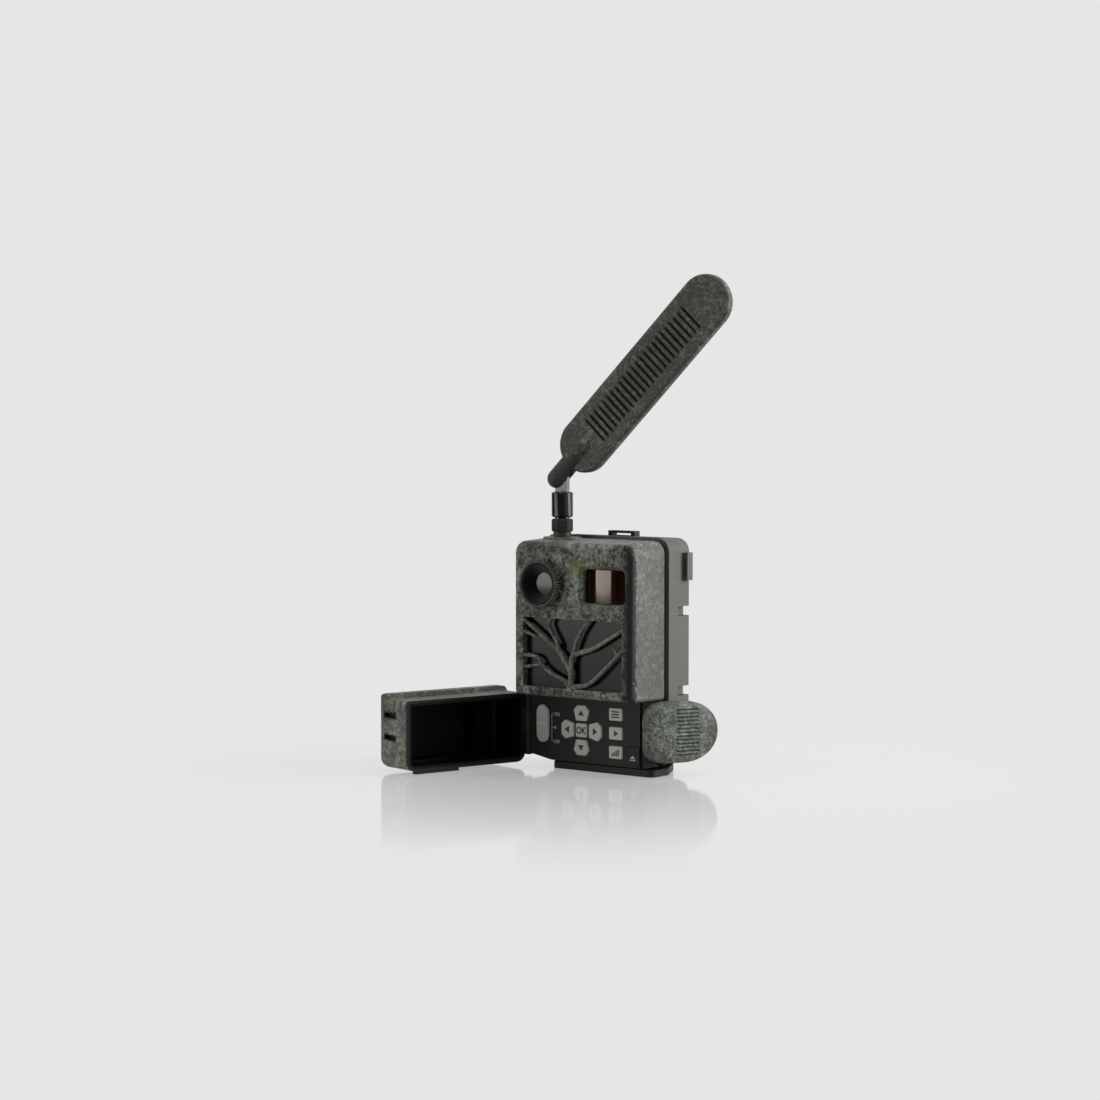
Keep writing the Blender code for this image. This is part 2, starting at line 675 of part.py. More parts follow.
def front_cover():
    rings = rounded_front(cover_ring, FRONT_Y, COVER_EDGE) + [cover_ring(SEAM_Y, 0)]
    cover = part("front_cover", loft("front_cover", rings), CAMO)
    inside = FRONT_Y + COVER_WALL
    cut(cover, loft("cover_inside", [cover_ring(inside, COVER_WALL + COVER_EDGE / 3),
                                     cover_ring(inside + COVER_EDGE / 2, COVER_WALL),
                                     cover_ring(SEAM_Y + OVERCUT, COVER_WALL)]))
    into_wall = FRONT_Y + COVER_WALL / 2
    join(cover, deep_rod("lens_collar", LENS_X, LENS_Z, into_wall, FRONT_Y - COLLAR_LENGTH,
                         COLLAR_RADIUS + COLLAR_FLARE, 32, COLLAR_RADIUS))
    join(cover, deep_rod("lens_socket", LENS_X, LENS_Z, into_wall, FRONT_Y + HOOD_BACK,
                         COLLAR_RADIUS - COLLAR_FLARE, 32))
    pir_frame = rounded_rect(PIR_WIDTH + 4 * PIR_BEVEL, PIR_HEIGHT + 3 * PIR_BEVEL, PIR_CORNER + PIR_BEVEL)
    join(cover, slab("pir_frame", pir_frame, into_wall, FRONT_Y + PIR_RIM, PIR_X, PIR_Z))
    frame = rounded_rect(WINDOW_WIDTH + 2 * WINDOW_FRAME, WINDOW_HEIGHT + 2 * WINDOW_FRAME,
                         WINDOW_CORNER + WINDOW_FRAME)
    join(cover, slab("window_frame", frame, into_wall, FRONT_Y + WINDOW_DEPTH, 0, WINDOW_Z))
    for side in (-1, 1):
        post_x = side * (FRONT_BOARD_WIDTH / 2 - POST_RADIUS)
        join(cover, deep_rod("board_post", post_x, BOARD_POST_Z, into_wall, FRONT_BOARD_Y - FIT_GAP,
                             POST_RADIUS, 12))
        for height in SCREW_HEIGHTS:
            join(cover, deep_rod("cover_boss", side * SCREW_X, height, BOSS_FRONT, SEAM_Y, BOSS_RADIUS, 12))
    pad = rounded_rect(PAD_WIDTH, PAD_DEPTH, PAD_DEPTH / 2 - FIT_GAP)
    pad_foot = level(scaled(pad, PAD_SPREAD), COVER_TOP - COVER_WALL / 2, ANTENNA_X, ANTENNA_Y)
    join(cover, loft("antenna_pad", [pad_foot, level(pad, PAD_TOP, ANTENNA_X, ANTENNA_Y)]))
    cut(cover, deep_rod("lens_bore", LENS_X, LENS_Z, FRONT_Y - COLLAR_LENGTH - OVERCUT,
                        FRONT_Y + HOOD_BACK + OVERCUT, COLLAR_RADIUS - COLLAR_WALL, 32))
    cut(cover, deep_rod("light_bore", LIGHT_X, LIGHT_Z, FRONT_Y - OVERCUT, FRONT_Y + PIR_RIM + OVERCUT,
                        LIGHT_RADIUS + FIT_GAP, 12))
    opening = rounded_rect(PIR_WIDTH, PIR_HEIGHT, PIR_CORNER)
    wide = rounded_rect(PIR_WIDTH + 2 * PIR_BEVEL, PIR_HEIGHT + 2 * PIR_BEVEL, PIR_CORNER + PIR_BEVEL)
    cut(cover, loft("pir_opening", [facing(wide, FRONT_Y - OVERCUT / 10, PIR_X, PIR_Z),
                                    facing(opening, FRONT_Y + PIR_BEVEL, PIR_X, PIR_Z),
                                    facing(opening, FRONT_Y + PIR_RIM + OVERCUT, PIR_X, PIR_Z)]))
    window = rounded_rect(WINDOW_WIDTH, WINDOW_HEIGHT, WINDOW_CORNER)
    cut(cover, slab("window_opening", window, FRONT_Y - OVERCUT, FRONT_Y + WINDOW_DEPTH + OVERCUT,
                    0, WINDOW_Z))
    for number, knots in enumerate(BRANCHES, 1):
        join(cover, branch_mesh(number, knots))
    behind = FRONT_Y + WINDOW_DEPTH + FIT_GAP / 2
    cut(cover, slab("pane_space", grown(pane_outline(), FIT_GAP), behind, behind + IR_PANE_THICK + FIT_GAP,
                    0, WINDOW_Z))
    cut(cover, upright_rod("antenna_bore", ANTENNA_X, ANTENNA_Y, COVER_TOP - COVER_WALL - OVERCUT,
                           PAD_TOP + OVERCUT, PAD_HOLE_RADIUS))
    cut(cover, tray_way("tray_way_cover", SEAM_BOTTOM - OVERCUT, SEAM_BOTTOM + COVER_WALL + 2 * OVERCUT))
    cut(cover, screw_holes("cover_screw_holes", SCREW_RADIUS + TURN_GAP))
    return cover


def screw_holes(name, radius):
    shank_end = REAR_Y - SCREW_SINK - SCREW_LENGTH - FIT_GAP
    rods = [deep_rod(name, side * SCREW_X, height, shank_end, REAR_Y + OVERCUT, radius, 12)
            for side in (-1, 1) for height in SCREW_HEIGHTS]
    return merged(name, rods)


# Lens, sensor, lamps and boards

def lens():
    toward_front = (math.pi / 2, 0, 0)
    place = {"location": (LENS_X, FRONT_Y, LENS_Z), "rotation": toward_front}
    outer = COLLAR_RADIUS - COLLAR_WALL - FIT_GAP
    mouth = outer - HOOD_RIM
    throat = GLASS_RADIUS - GLASS_LIP
    front = COLLAR_LENGTH - FIT_GAP
    lip = -GLASS_DEPTH + GLASS_LIP
    pocket = GLASS_RADIUS + FIT_GAP
    profile = [(outer, front), (outer, -HOOD_BACK), (pocket, -HOOD_BACK), (pocket, -GLASS_DEPTH + FIT_GAP),
               (throat, -GLASS_DEPTH + FIT_GAP), (throat, lip)]
    for step in range(1, HOOD_STEPS + 1):
        share = step / HOOD_STEPS
        height = lip + (front - lip) * share
        radius = throat + (mouth - throat) * share
        profile.append((radius - HOOD_STEP_DROP, height - (front - lip) / HOOD_STEPS * 0.35))
        profile.append((radius, height))
    turned("lens_hood", profile, BLACK, closed=True, sides=28, **place)
    back = -GLASS_DEPTH - GLASS_THICK
    face = -GLASS_DEPTH
    turned("lens_glass", [(0, face + GLASS_CROWN), (GLASS_RADIUS * 0.6, face + GLASS_CROWN / 2),
                          (GLASS_RADIUS, face), (GLASS_RADIUS, back), (0, back)],
           GLASS, sides=28, **place)
    board = FRONT_Y - FRONT_BOARD_Y + FIT_GAP
    turned("lens_barrel", [(0, back - FIT_GAP), (GLASS_RADIUS, back - FIT_GAP), (GLASS_RADIUS, -HOOD_BACK),
                           (BARREL_RADIUS, -HOOD_BACK), (BARREL_RADIUS, board), (0, board)],
           BLACK, sides=20, **place)


def motion_sensor():
    width = PIR_WIDTH - 2 * FIT_GAP
    height = PIR_HEIGHT - 2 * FIT_GAP
    seat = FRONT_Y + PIR_RIM + FIT_GAP
    edge = FRONT_Y + PIR_BEVEL + PIR_BULGE - PIR_EDGE_UP
    block = rounded_rect(width, height, PIR_CORNER)
    pane = part("pir_lens", slab("pir_lens", block, FRONT_Y, seat + FIT_GAP, PIR_X, PIR_Z), PIR_BROWN)
    # What is cut away in front leaves a bulging face, curved about an upright axis.
    plan = [(0.6 * width, FRONT_Y - OVERCUT), (-0.6 * width, FRONT_Y - OVERCUT)]
    for step in range(13):
        across = 1.2 * width * (step / 12 - 0.5)
        plan.append((across, edge - PIR_BULGE * (1 - (2 * across / width) ** 2)))
    cut(pane, loft("pir_face", [[(PIR_X + x, y, PIR_Z + up) for x, y in plan] for up in (-height, height)]))
    rim = rounded_rect(PIR_WIDTH + 2 * PIR_BEVEL, PIR_HEIGHT + 2 * PIR_BEVEL, PIR_CORNER)
    join(pane, slab("pir_rim", rim, seat, seat + PIR_RIM_THICK, PIR_X, PIR_Z))
    face = FRONT_BOARD_Y - FIT_GAP
    part("pir_sensor", deep_rod("pir_sensor", PIR_X, PIR_Z, face, face - SENSOR_HEIGHT, SENSOR_RADIUS), STEEL)


def lamps_and_boards():
    pipe = deep_rod("status_light", LIGHT_X, LIGHT_Z, FRONT_Y - FIT_GAP, FRONT_BOARD_Y - FIT_GAP,
                    LIGHT_RADIUS, 12)
    part("status_light", pipe, LAMP)
    front = FRONT_Y + WINDOW_DEPTH + FIT_GAP
    part("ir_window", slab("ir_window", pane_outline(), front, front + IR_PANE_THICK, 0, WINDOW_Z), IR_BLACK)
    middle = (FRONT_BOARD_BOTTOM + FRONT_BOARD_TOP) / 2
    sheet = rounded_rect(FRONT_BOARD_WIDTH, FRONT_BOARD_TOP - FRONT_BOARD_BOTTOM, BOARD_CORNER, 2)
    sheet = slab("front_board", sheet, FRONT_BOARD_Y, FRONT_BOARD_Y + BOARD_THICK, 0, middle)
    board = part("front_board", sheet, BOARD_GREEN)
    lamp_tip = front + IR_PANE_THICK + FIT_GAP
    rods = []
    for column in range(LAMP_COLUMNS):
        for row in range(LAMP_ROWS):
            x = (column - (LAMP_COLUMNS - 1) / 2) * LAMP_PITCH_X
            z = WINDOW_Z + (row - (LAMP_ROWS - 1) / 2) * LAMP_PITCH_Z
            rods.append(deep_rod("lamp", x, z, FRONT_BOARD_Y + BOARD_THICK / 2, lamp_tip, LAMP_RADIUS, 8))
    join(board, merged("lamps", rods))
    middle = (MAIN_BOARD_BOTTOM + MAIN_BOARD_TOP) / 2
    sheet = rounded_rect(MAIN_BOARD_WIDTH, MAIN_BOARD_TOP - MAIN_BOARD_BOTTOM, BOARD_CORNER, 2)
    sheet = slab("main_board", sheet, MAIN_BOARD_Y, MAIN_BOARD_Y + BOARD_THICK, 0, middle)
    part("main_board", sheet, BOARD_GREEN)


# Rear shell, its gasket and screws

def rear_ring(y, inset):
    top = FLANGE_TOP - inset
    bottom = REAR_BOTTOM + inset
    radius = max(REAR_CORNER - inset, LEAST_CORNER)
    return facing(rounded_rect(FLANGE_WIDTH - 2 * inset, top - bottom, radius), y, 0, (top + bottom) / 2)


def strap_ear(name, along, across, wide, rise):
    # An arch over a slot that runs front to back: across is the slot's long way, along its short way.
    back = REAR_Y - REAR_EDGE
    front = back - EAR_DEPTH
    arch = box(name, across(-wide / 2, along - EAR_FOOT, front), across(wide / 2, along + rise, back))
    inside = wide / 2 - 2 * EAR_BAR
    slot = box(name + "_slot", across(-inside, along + rise - EAR_BAR - EAR_SLOT, front - OVERCUT),
               across(inside, along + rise - EAR_BAR, back + OVERCUT))
    return arch, slot


def rear_shell():
    rings = [rear_ring(FLANGE_Y, 0), rear_ring(FLANGE_Y + FLANGE_THICK - FLANGE_CHAMFER, 0),
             rear_ring(FLANGE_Y + FLANGE_THICK, REAR_INSET)]
    for step in range(3):
        angle = math.radians(45 * step)
        rings.append(rear_ring(REAR_Y - REAR_EDGE * (1 - math.sin(angle)),
                               REAR_INSET + REAR_EDGE * (1 - math.cos(angle))))
    shell = part("rear_shell", loft("rear_shell", rings), SHELL)
    inset = REAR_INSET + REAR_WALL
    cut(shell, loft("rear_inside", [rear_ring(FLANGE_Y - OVERCUT, inset), rear_ring(INNER_BACK, inset)]))
    into_wall = REAR_Y - REAR_WALL / 2
    for side in (-1, 1):
        for height in SCREW_HEIGHTS:
            join(shell, deep_rod("rear_boss", side * SCREW_X, height, FLANGE_Y, into_wall, BOSS_RADIUS, 12))
        join(shell, deep_rod("main_board_post", side * (MAIN_BOARD_WIDTH / 2 - POST_RADIUS),
                             MAIN_BOARD_TOP - MAIN_POST_DOWN, MAIN_BOARD_Y + BOARD_THICK + FIT_GAP, into_wall,
                             POST_RADIUS, 12))
        for centre in STRAP_NOTCH_CENTRES:
            half = STRAP_NOTCH_HEIGHT / 2 + REAR_WALL
            edge = sorted((side * (SIDE_X - REAR_WALL / 2), side * (SIDE_X - STRAP_NOTCH_IN - REAR_WALL)))
            join(shell, box("notch_wall", (edge[0], REAR_Y - STRAP_NOTCH_DEPTH - REAR_WALL, centre - half),
                            (edge[1], into_wall, centre + half)))
    join(shell, deep_rod("main_board_post", 0, MAIN_BOARD_BOTTOM + 1.25 * POST_RADIUS,
                         MAIN_BOARD_Y + BOARD_THICK + FIT_GAP, into_wall, POST_RADIUS, 12))
    shelf = CONTACT_Z + CONTACT_THICK + FIT_GAP
    join(shell, box("contact_shelf", (TRAY_LEFT, INNER_BACK - SHELF_DEPTH, shelf),
                    (TRAY_RIGHT, into_wall, shelf + REAR_WALL)))
    join(shell, deep_rod("tripod_boss", 0, TRIPOD_Z, REAR_Y - TRIPOD_LENGTH - REAR_WALL, into_wall,
                         TRIPOD_RADIUS + REAR_WALL, 20))
    ear_z = SIDE_EAR_TOP - SIDE_EAR_LENGTH / 2
    ears = [strap_ear("top_ear", FLANGE_TOP - REAR_INSET, lambda a, b, y: (a, y, b), EAR_WIDTH, EAR_HEIGHT),
            strap_ear("right_ear", SIDE_X, lambda a, b, y: (b, y, ear_z + a), SIDE_EAR_LENGTH, EAR_HEIGHT),
            strap_ear("left_ear", SIDE_X, lambda a, b, y: (-b, y, ear_z + a), SIDE_EAR_LENGTH, EAR_HEIGHT)]
    for arch, slot in ears:
        join(shell, arch)
        cut(shell, slot)
    for side in (-1, 1):
        for centre in STRAP_NOTCH_CENTRES:
            edge = sorted((side * (SIDE_X + OVERCUT), side * (SIDE_X - STRAP_NOTCH_IN)))
            half = STRAP_NOTCH_HEIGHT / 2
            cut(shell, box("strap_notch", (edge[0], REAR_Y - STRAP_NOTCH_DEPTH, centre - half),
                           (edge[1], REAR_Y + OVERCUT, centre + half)))
    cut(shell, tray_way("tray_way_rear", REAR_BOTTOM - OVERCUT, REAR_BOTTOM + inset + OVERCUT))
    cut(shell, screw_holes("rear_screw_holes", SCREW_RADIUS + TURN_GAP))
    sinks = [deep_rod("sink", side * SCREW_X, height, REAR_Y - SCREW_SINK, REAR_Y + OVERCUT,
                      SCREW_HEAD_RADIUS + FIT_GAP, 12) for side in (-1, 1) for height in SCREW_HEIGHTS]
    cut(shell, merged("screw_sinks", sinks))
    cut(shell, deep_rod("tripod_bore", 0, TRIPOD_Z, REAR_Y - TRIPOD_LENGTH - FIT_GAP, REAR_Y + OVERCUT,
                        TRIPOD_RADIUS + FIT_GAP, 20))
    return shell


def rear_details():
    middle = (SEAM_TOP + SEAM_BOTTOM) / 2
    band = slab("seam_gasket", gasket_outline(GASKET_INSET), GASKET_Y, GASKET_Y + GASKET_THICK, 0, middle)
    ring = part("seam_gasket", band, RUBBER)
    cut(ring, slab("gasket_hole", gasket_outline(GASKET_INSET + GASKET_WIDTH), GASKET_Y - OVERCUT,
                   GASKET_Y + GASKET_THICK + OVERCUT, 0, middle))
    cut(ring, tray_way("tray_way_gasket", SEAM_BOTTOM - OVERCUT, TRAY_TOP))
    away = (-math.pi / 2, 0, 0)
    bottom = -TRIPOD_LENGTH
    turned("tripod_insert", [(TRIPOD_RADIUS, -FIT_GAP), (TRIPOD_RADIUS, bottom), (TRIPOD_BORE, bottom),
                             (TRIPOD_BORE, -FIT_GAP)], BRASS, closed=True, sides=20,
           location=(0, REAR_Y, TRIPOD_Z), rotation=away)
    number = 0
    for side in (-1, 1):
        for height in SCREW_HEIGHTS:
            number += 1
            top = -SCREW_SINK + FIT_GAP + SCREW_HEAD_HEIGHT
            under = -SCREW_SINK + FIT_GAP
            end = under - SCREW_LENGTH
            turned(f"body_screw_{number}", [(0, top), (SCREW_HEAD_RADIUS, top), (SCREW_HEAD_RADIUS, under),
                                            (SCREW_RADIUS, under), (SCREW_RADIUS, end), (0, end)],
                   STEEL, sides=12, location=(side * SCREW_X, REAR_Y, height), rotation=away)


def gasket_outline(inset):
    height = SEAM_TOP - SEAM_BOTTOM - 2 * inset
    low_radius = max(COVER_LOW_CORNER - inset / 2, LEAST_CORNER)
    return rounded_rect(SEAM_WIDTH - 2 * inset, height, COVER_CORNER - inset / 2, 4, low_radius)


# Control panel, keys, switch and eject button

def pad_key_outline():
    half = PAD_KEY_WIDTH / 2
    end = PAD_KEY_LENGTH / 2
    corners = [(-0.68 * half, -end), (0.68 * half, -end), (half, 0.34 * end), (0.55 * half, end),
               (-0.55 * half, end), (-half, 0.34 * end)]
    return rounded_polygon(corners, PAD_KEY_CORNER)


def turned_outline(outline, degrees):
    angle = math.radians(degrees)
    return [(x * math.cos(angle) - z * math.sin(angle), x * math.sin(angle) + z * math.cos(angle))
            for x, z in outline]


def key_layout():
    plate_outline = rounded_rect(SIDE_KEY_WIDTH, SIDE_KEY_HEIGHT, KEY_CORNER, 2)
    centre_outline = rounded_rect(OK_KEY_SIZE, OK_KEY_SIZE, KEY_CORNER, 2)
    layout = {"key_ok": (centre_outline, PAD_X, PAD_Z)}
    for name, degrees in (("key_up", 0), ("key_left", 90), ("key_down", 180), ("key_right", 270)):
        angle = math.radians(degrees)
        layout[name] = (turned_outline(pad_key_outline(), degrees), PAD_X - PAD_REACH * math.sin(angle),
                        PAD_Z + PAD_REACH * math.cos(angle))
    for row, name in enumerate(("key_test", "key_play", "key_menu")):
        layout[name] = (plate_outline, SIDE_KEY_X, PAD_Z + (row - 1) * SIDE_KEY_PITCH)
    return layout


def grown(outline, by):
    wide = max(abs(x) for x, _ in outline)
    tall = max(abs(z) for _, z in outline)
    return scaled(outline, 1 + by / wide, 1 + by / tall)


def keys():
    seat = PANEL_PLATE + FIT_GAP
    for name, (outline, x, z) in key_layout().items():
        flange = grown(outline, KEY_FLANGE)
        rings = [facing(grown(outline, -KEY_CHAMFER), -KEY_RISE), facing(outline, -KEY_RISE + KEY_CHAMFER),
                 facing(outline, seat), facing(flange, seat), facing(flange, seat + KEY_FLANGE_THICK)]
        part(name, loft(name, rings), KEY_GREY, location=(x, PANEL_Y, z))


def panel_outline(inset):
    left, right = PANEL_LEFT + inset, BLOCK_RIGHT - inset
    low, high = PANEL_BOTTOM + inset, BLOCK_TOP - inset
    return [(left, high), (left, low + PANEL_CUT_Z), (PANEL_LEFT + PANEL_CUT_X, low), (right, low),
            (right, high)]


def eject_corners(grow):
    right = PANEL_RIGHT - FIT_GAP
    low = PANEL_BOTTOM + EJECT_UP
    return (right - EJECT_WIDTH - grow, low - grow), (right + grow, low + EJECT_HEIGHT + grow)


def latch_points():
    # Pins of the toggle: the post on the body, and the lever's pin with the latch open and closed.
    turn = math.radians(-LEVER_OPEN_DEG)
    along = Vector((-math.sin(turn), math.cos(turn)))
    outward = Vector((math.cos(turn), math.sin(turn)))
    open_pin = Vector(LEVER_OPEN_FRONT) + along * LEVER_FRONT_HALF + outward * LEVER_PIN_UP
    closed_pin = Vector((LEVER_CLOSED_X + LEVER_PIN_UP, LEVER_CLOSED_FRONT_Y + LEVER_FRONT_HALF))
    middle = (open_pin + closed_pin) / 2
    apart = open_pin - closed_pin
    aside = Vector((apart.y, -apart.x)).normalized()
    post = middle + aside * (LATCH_POST_X - middle.x) / aside.x
    return post, open_pin, closed_pin


def latch_levels():
    half = LATCH_LINK_HEIGHT / 2 + FIT_GAP
    low, high = LATCH_Z - half, LATCH_Z + half
    return (low - LATCH_LUG_THICK, low), (high, high + LATCH_LUG_THICK)


def control_panel():
    panel = part("control_panel", slab("control_panel", panel_outline(0), PANEL_Y, BLOCK_BACK), PANEL_GREY)
    cut(panel, box("panel_ledge", (PANEL_RIGHT, PANEL_Y - OVERCUT, PANEL_BOTTOM - OVERCUT),
                   (BLOCK_RIGHT + OVERCUT, PANEL_Y + LEDGE_SET_BACK, BLOCK_TOP + OVERCUT)))
    cut(panel, slab("panel_inside", panel_outline(PANEL_WALL), PANEL_Y + PANEL_PLATE, BLOCK_BACK + OVERCUT))
    cut(panel, tray_way("tray_way_panel", PANEL_BOTTOM - OVERCUT, BLOCK_TOP + OVERCUT))
    board_face = KEY_BOARD_Y - FIT_GAP
    left_keys = PAD_X - PAD_REACH - PAD_KEY_LENGTH / 2
    side_keys = SIDE_KEY_X - SIDE_KEY_WIDTH / 2
    for x in (left_keys - KEY_POST_GAPS[0], side_keys - KEY_POST_GAPS[1]):
        for z in KEY_POST_HEIGHTS:
            join(panel, deep_rod("key_board_post", x, z, PANEL_Y + PANEL_PLATE / 2, board_face,
                                 KEY_POST_RADIUS, 10))
    join(panel, upright_rod("hinge_knuckle", HINGE_X, HINGE_Y, *KNUCKLE_ENDS[1:3], KNUCKLE_RADIUS))
    web_back = HINGE_Y + KNUCKLE_RADIUS - WEB_INSET
    join(panel, box("hinge_web", (HINGE_X, HINGE_Y, KNUCKLE_ENDS[1] + WEB_INSET),
                    (PANEL_LEFT + PANEL_WALL / 2, web_back, KNUCKLE_ENDS[2] - WEB_INSET)))
    post, _, _ = latch_points()
    for low, high in latch_levels():
        join(panel, upright_rod("latch_lug", post.x, post.y, low, high, LATCH_EYE_RADIUS))
        half = LATCH_EYE_RADIUS - WEB_INSET
        join(panel, box("latch_lug_web", (BLOCK_RIGHT - PANEL_WALL / 2, post.y - half, low + WEB_INSET),
                        (post.x, post.y + half, high - WEB_INSET)))
    for name, (outline, x, z) in key_layout().items():
        cut(panel, slab(name + "_hole", grown(outline, FIT_GAP), PANEL_Y - OVERCUT,
                        PANEL_Y + PANEL_PLATE + OVERCUT, x, z))
    slot = stadium(SWITCH_STEM + 2 * FIT_GAP, SWITCH_STEM + 2 * SWITCH_TRAVEL + SWITCH_SLOT_SPARE, 4)
    cut(panel, slab("switch_slot", slot, PANEL_Y - OVERCUT, PANEL_Y + PANEL_PLATE + OVERCUT,
                    SWITCH_X, SWITCH_Z))
    (left, low), (right, high) = eject_corners(FIT_GAP)
    eject_depth = KEY_BACK + KEY_TRAVEL + FIT_GAP
    cut(panel, box("eject_hole", (left, PANEL_Y - OVERCUT, low), (right, PANEL_Y + eject_depth, high)))
    cut(panel, upright_rod("hinge_bore", HINGE_X, HINGE_Y, 0, BLOCK_TOP, HINGE_PIN_RADIUS + TURN_GAP, 12))
    cut(panel, upright_rod("latch_bore", post.x, post.y, 0, BLOCK_TOP, LATCH_PIN_RADIUS + TURN_GAP, 12))


def panel_details():
    low, high = KNUCKLE_ENDS[0] - FIT_GAP, KNUCKLE_ENDS[-1] + FIT_GAP
    pin = upright_rod("door_hinge_pin", HINGE_X, HINGE_Y, low, high, HINGE_PIN_RADIUS, 12)
    part("door_hinge_pin", pin, STEEL)
    left = PANEL_LEFT + PANEL_WALL + FIT_GAP
    right = PANEL_RIGHT - EJECT_WIDTH - EJECT_BOARD_GAP
    sheet = box("key_board", (left, KEY_BOARD_Y, PANEL_BOTTOM + PANEL_WALL + PANEL_CUT_Z),
                (right, KEY_BOARD_Y + KEY_BOARD_THICK, BLOCK_TOP - PANEL_WALL - FIT_GAP))
    part("key_board", sheet, BOARD_GREEN)
    rise = -FIT_GAP - SWITCH_RISE
    pill = stadium(SWITCH_WIDTH, SWITCH_LENGTH, 8)
    rings = [facing(grown(pill, -SWITCH_CHAMFER), rise), facing(pill, rise + SWITCH_CHAMFER),
             facing(pill, -FIT_GAP)]
    cap = part("switch_cap", loft("switch_cap", rings), KEY_GREY, location=(SWITCH_X, PANEL_Y, SWITCH_Z))
    half = SWITCH_STEM / 2
    join(cap, box("switch_stem", (-half, -SWITCH_RISE / 2, -half),
                  (half, KEY_BOARD_Y - PANEL_Y - FIT_GAP, half)))
    (left, low), (right, high) = eject_corners(0)
    button = part("eject_button", box("eject_button", (left, PANEL_Y - FIT_GAP, low),
                                      (right, PANEL_Y + KEY_BACK, high)), PANEL_GREY)
    inside = PANEL_BOTTOM + PANEL_WALL + FIT_GAP
    join(button, box("eject_flange", (left - KEY_FLANGE, PANEL_Y + PANEL_PLATE + FIT_GAP, inside),
                     (right, PANEL_Y + KEY_BACK, high + KEY_FLANGE)))


# Battery tray

def battery_tray():
    cut_y = BASE_BACK - BASE_CUT_Y
    corners = [(BASE_LEFT, BASE_FRONT), (BASE_RIGHT, BASE_FRONT), (BASE_RIGHT, cut_y),
               (BASE_RIGHT - BASE_CUT_X, BASE_BACK), (BASE_LEFT + BASE_CUT_X, BASE_BACK), (BASE_LEFT, cut_y)]
    foot = rounded_polygon(corners, BASE_CORNER, 3)
    tray = part("battery_tray", plate("battery_tray", foot, 0, BASE_THICK), BLACK)
    join(tray, box("tray_frame", (TRAY_LEFT, TRAY_FRONT, BASE_THICK / 2), (TRAY_RIGHT, TRAY_BACK, TRAY_TOP)))
    left, right = TRAY_LEFT + TRAY_SHEET, TRAY_RIGHT - TRAY_SHEET
    low, high = BASE_THICK + TRAY_END, TRAY_TOP - TRAY_END
    cut(tray, box("front_cells", (left, TRAY_FRONT - OVERCUT, low), (right, WEB_Y, high)))
    cut(tray, box("back_cells", (left, WEB_Y + TRAY_SHEET, low), (right, TRAY_BACK + OVERCUT, high)))
    number = 0
    for row, y in enumerate((FRONT_ROW_Y, BACK_ROW_Y)):
        for column in range(CELL_COLUMNS):
            number += 1
            x = TRAY_X + (column - (CELL_COLUMNS - 1) / 2) * (2 * CELL_RADIUS + CELL_GAP)
            flipped = (row + column) % 2
            body = CELL_LENGTH - CELL_NUB_LENGTH
            profile = [(0, CELL_LENGTH), (CELL_NUB_RADIUS, CELL_LENGTH), (CELL_NUB_RADIUS, body),
                       (CELL_RADIUS, body), (CELL_RADIUS, 0), (0, 0)]
            turned(f"battery_{number}", profile, CELL, sides=14, rotation=(flipped * math.pi, 0, 0),
                   location=(x, y, CELL_BOTTOM + flipped * CELL_LENGTH))
    part("contact_board", box("contact_board", (TRAY_LEFT, TRAY_FRONT, CONTACT_Z),
                              (TRAY_RIGHT, TRAY_BACK, CONTACT_Z + CONTACT_THICK)), BOARD_GREEN)


# Door

def door_ring(y, inset, top=DOOR_TOP):
    width = DOOR_RIGHT - DOOR_LEFT - 2 * inset
    radius = max(DOOR_TOP_CORNER - inset, LEAST_CORNER)
    low_radius = max(DOOR_LOW_CORNER - inset, LEAST_CORNER)
    outline = rounded_rect(width, top - DOOR_BOTTOM - 2 * inset, radius, 4, low_radius)
    return facing(outline, y, (DOOR_LEFT + DOOR_RIGHT) / 2, (top + DOOR_BOTTOM) / 2)


def brow_ring(y, inset):
    return door_ring(y, inset, DOOR_TOP + DOOR_BROW)


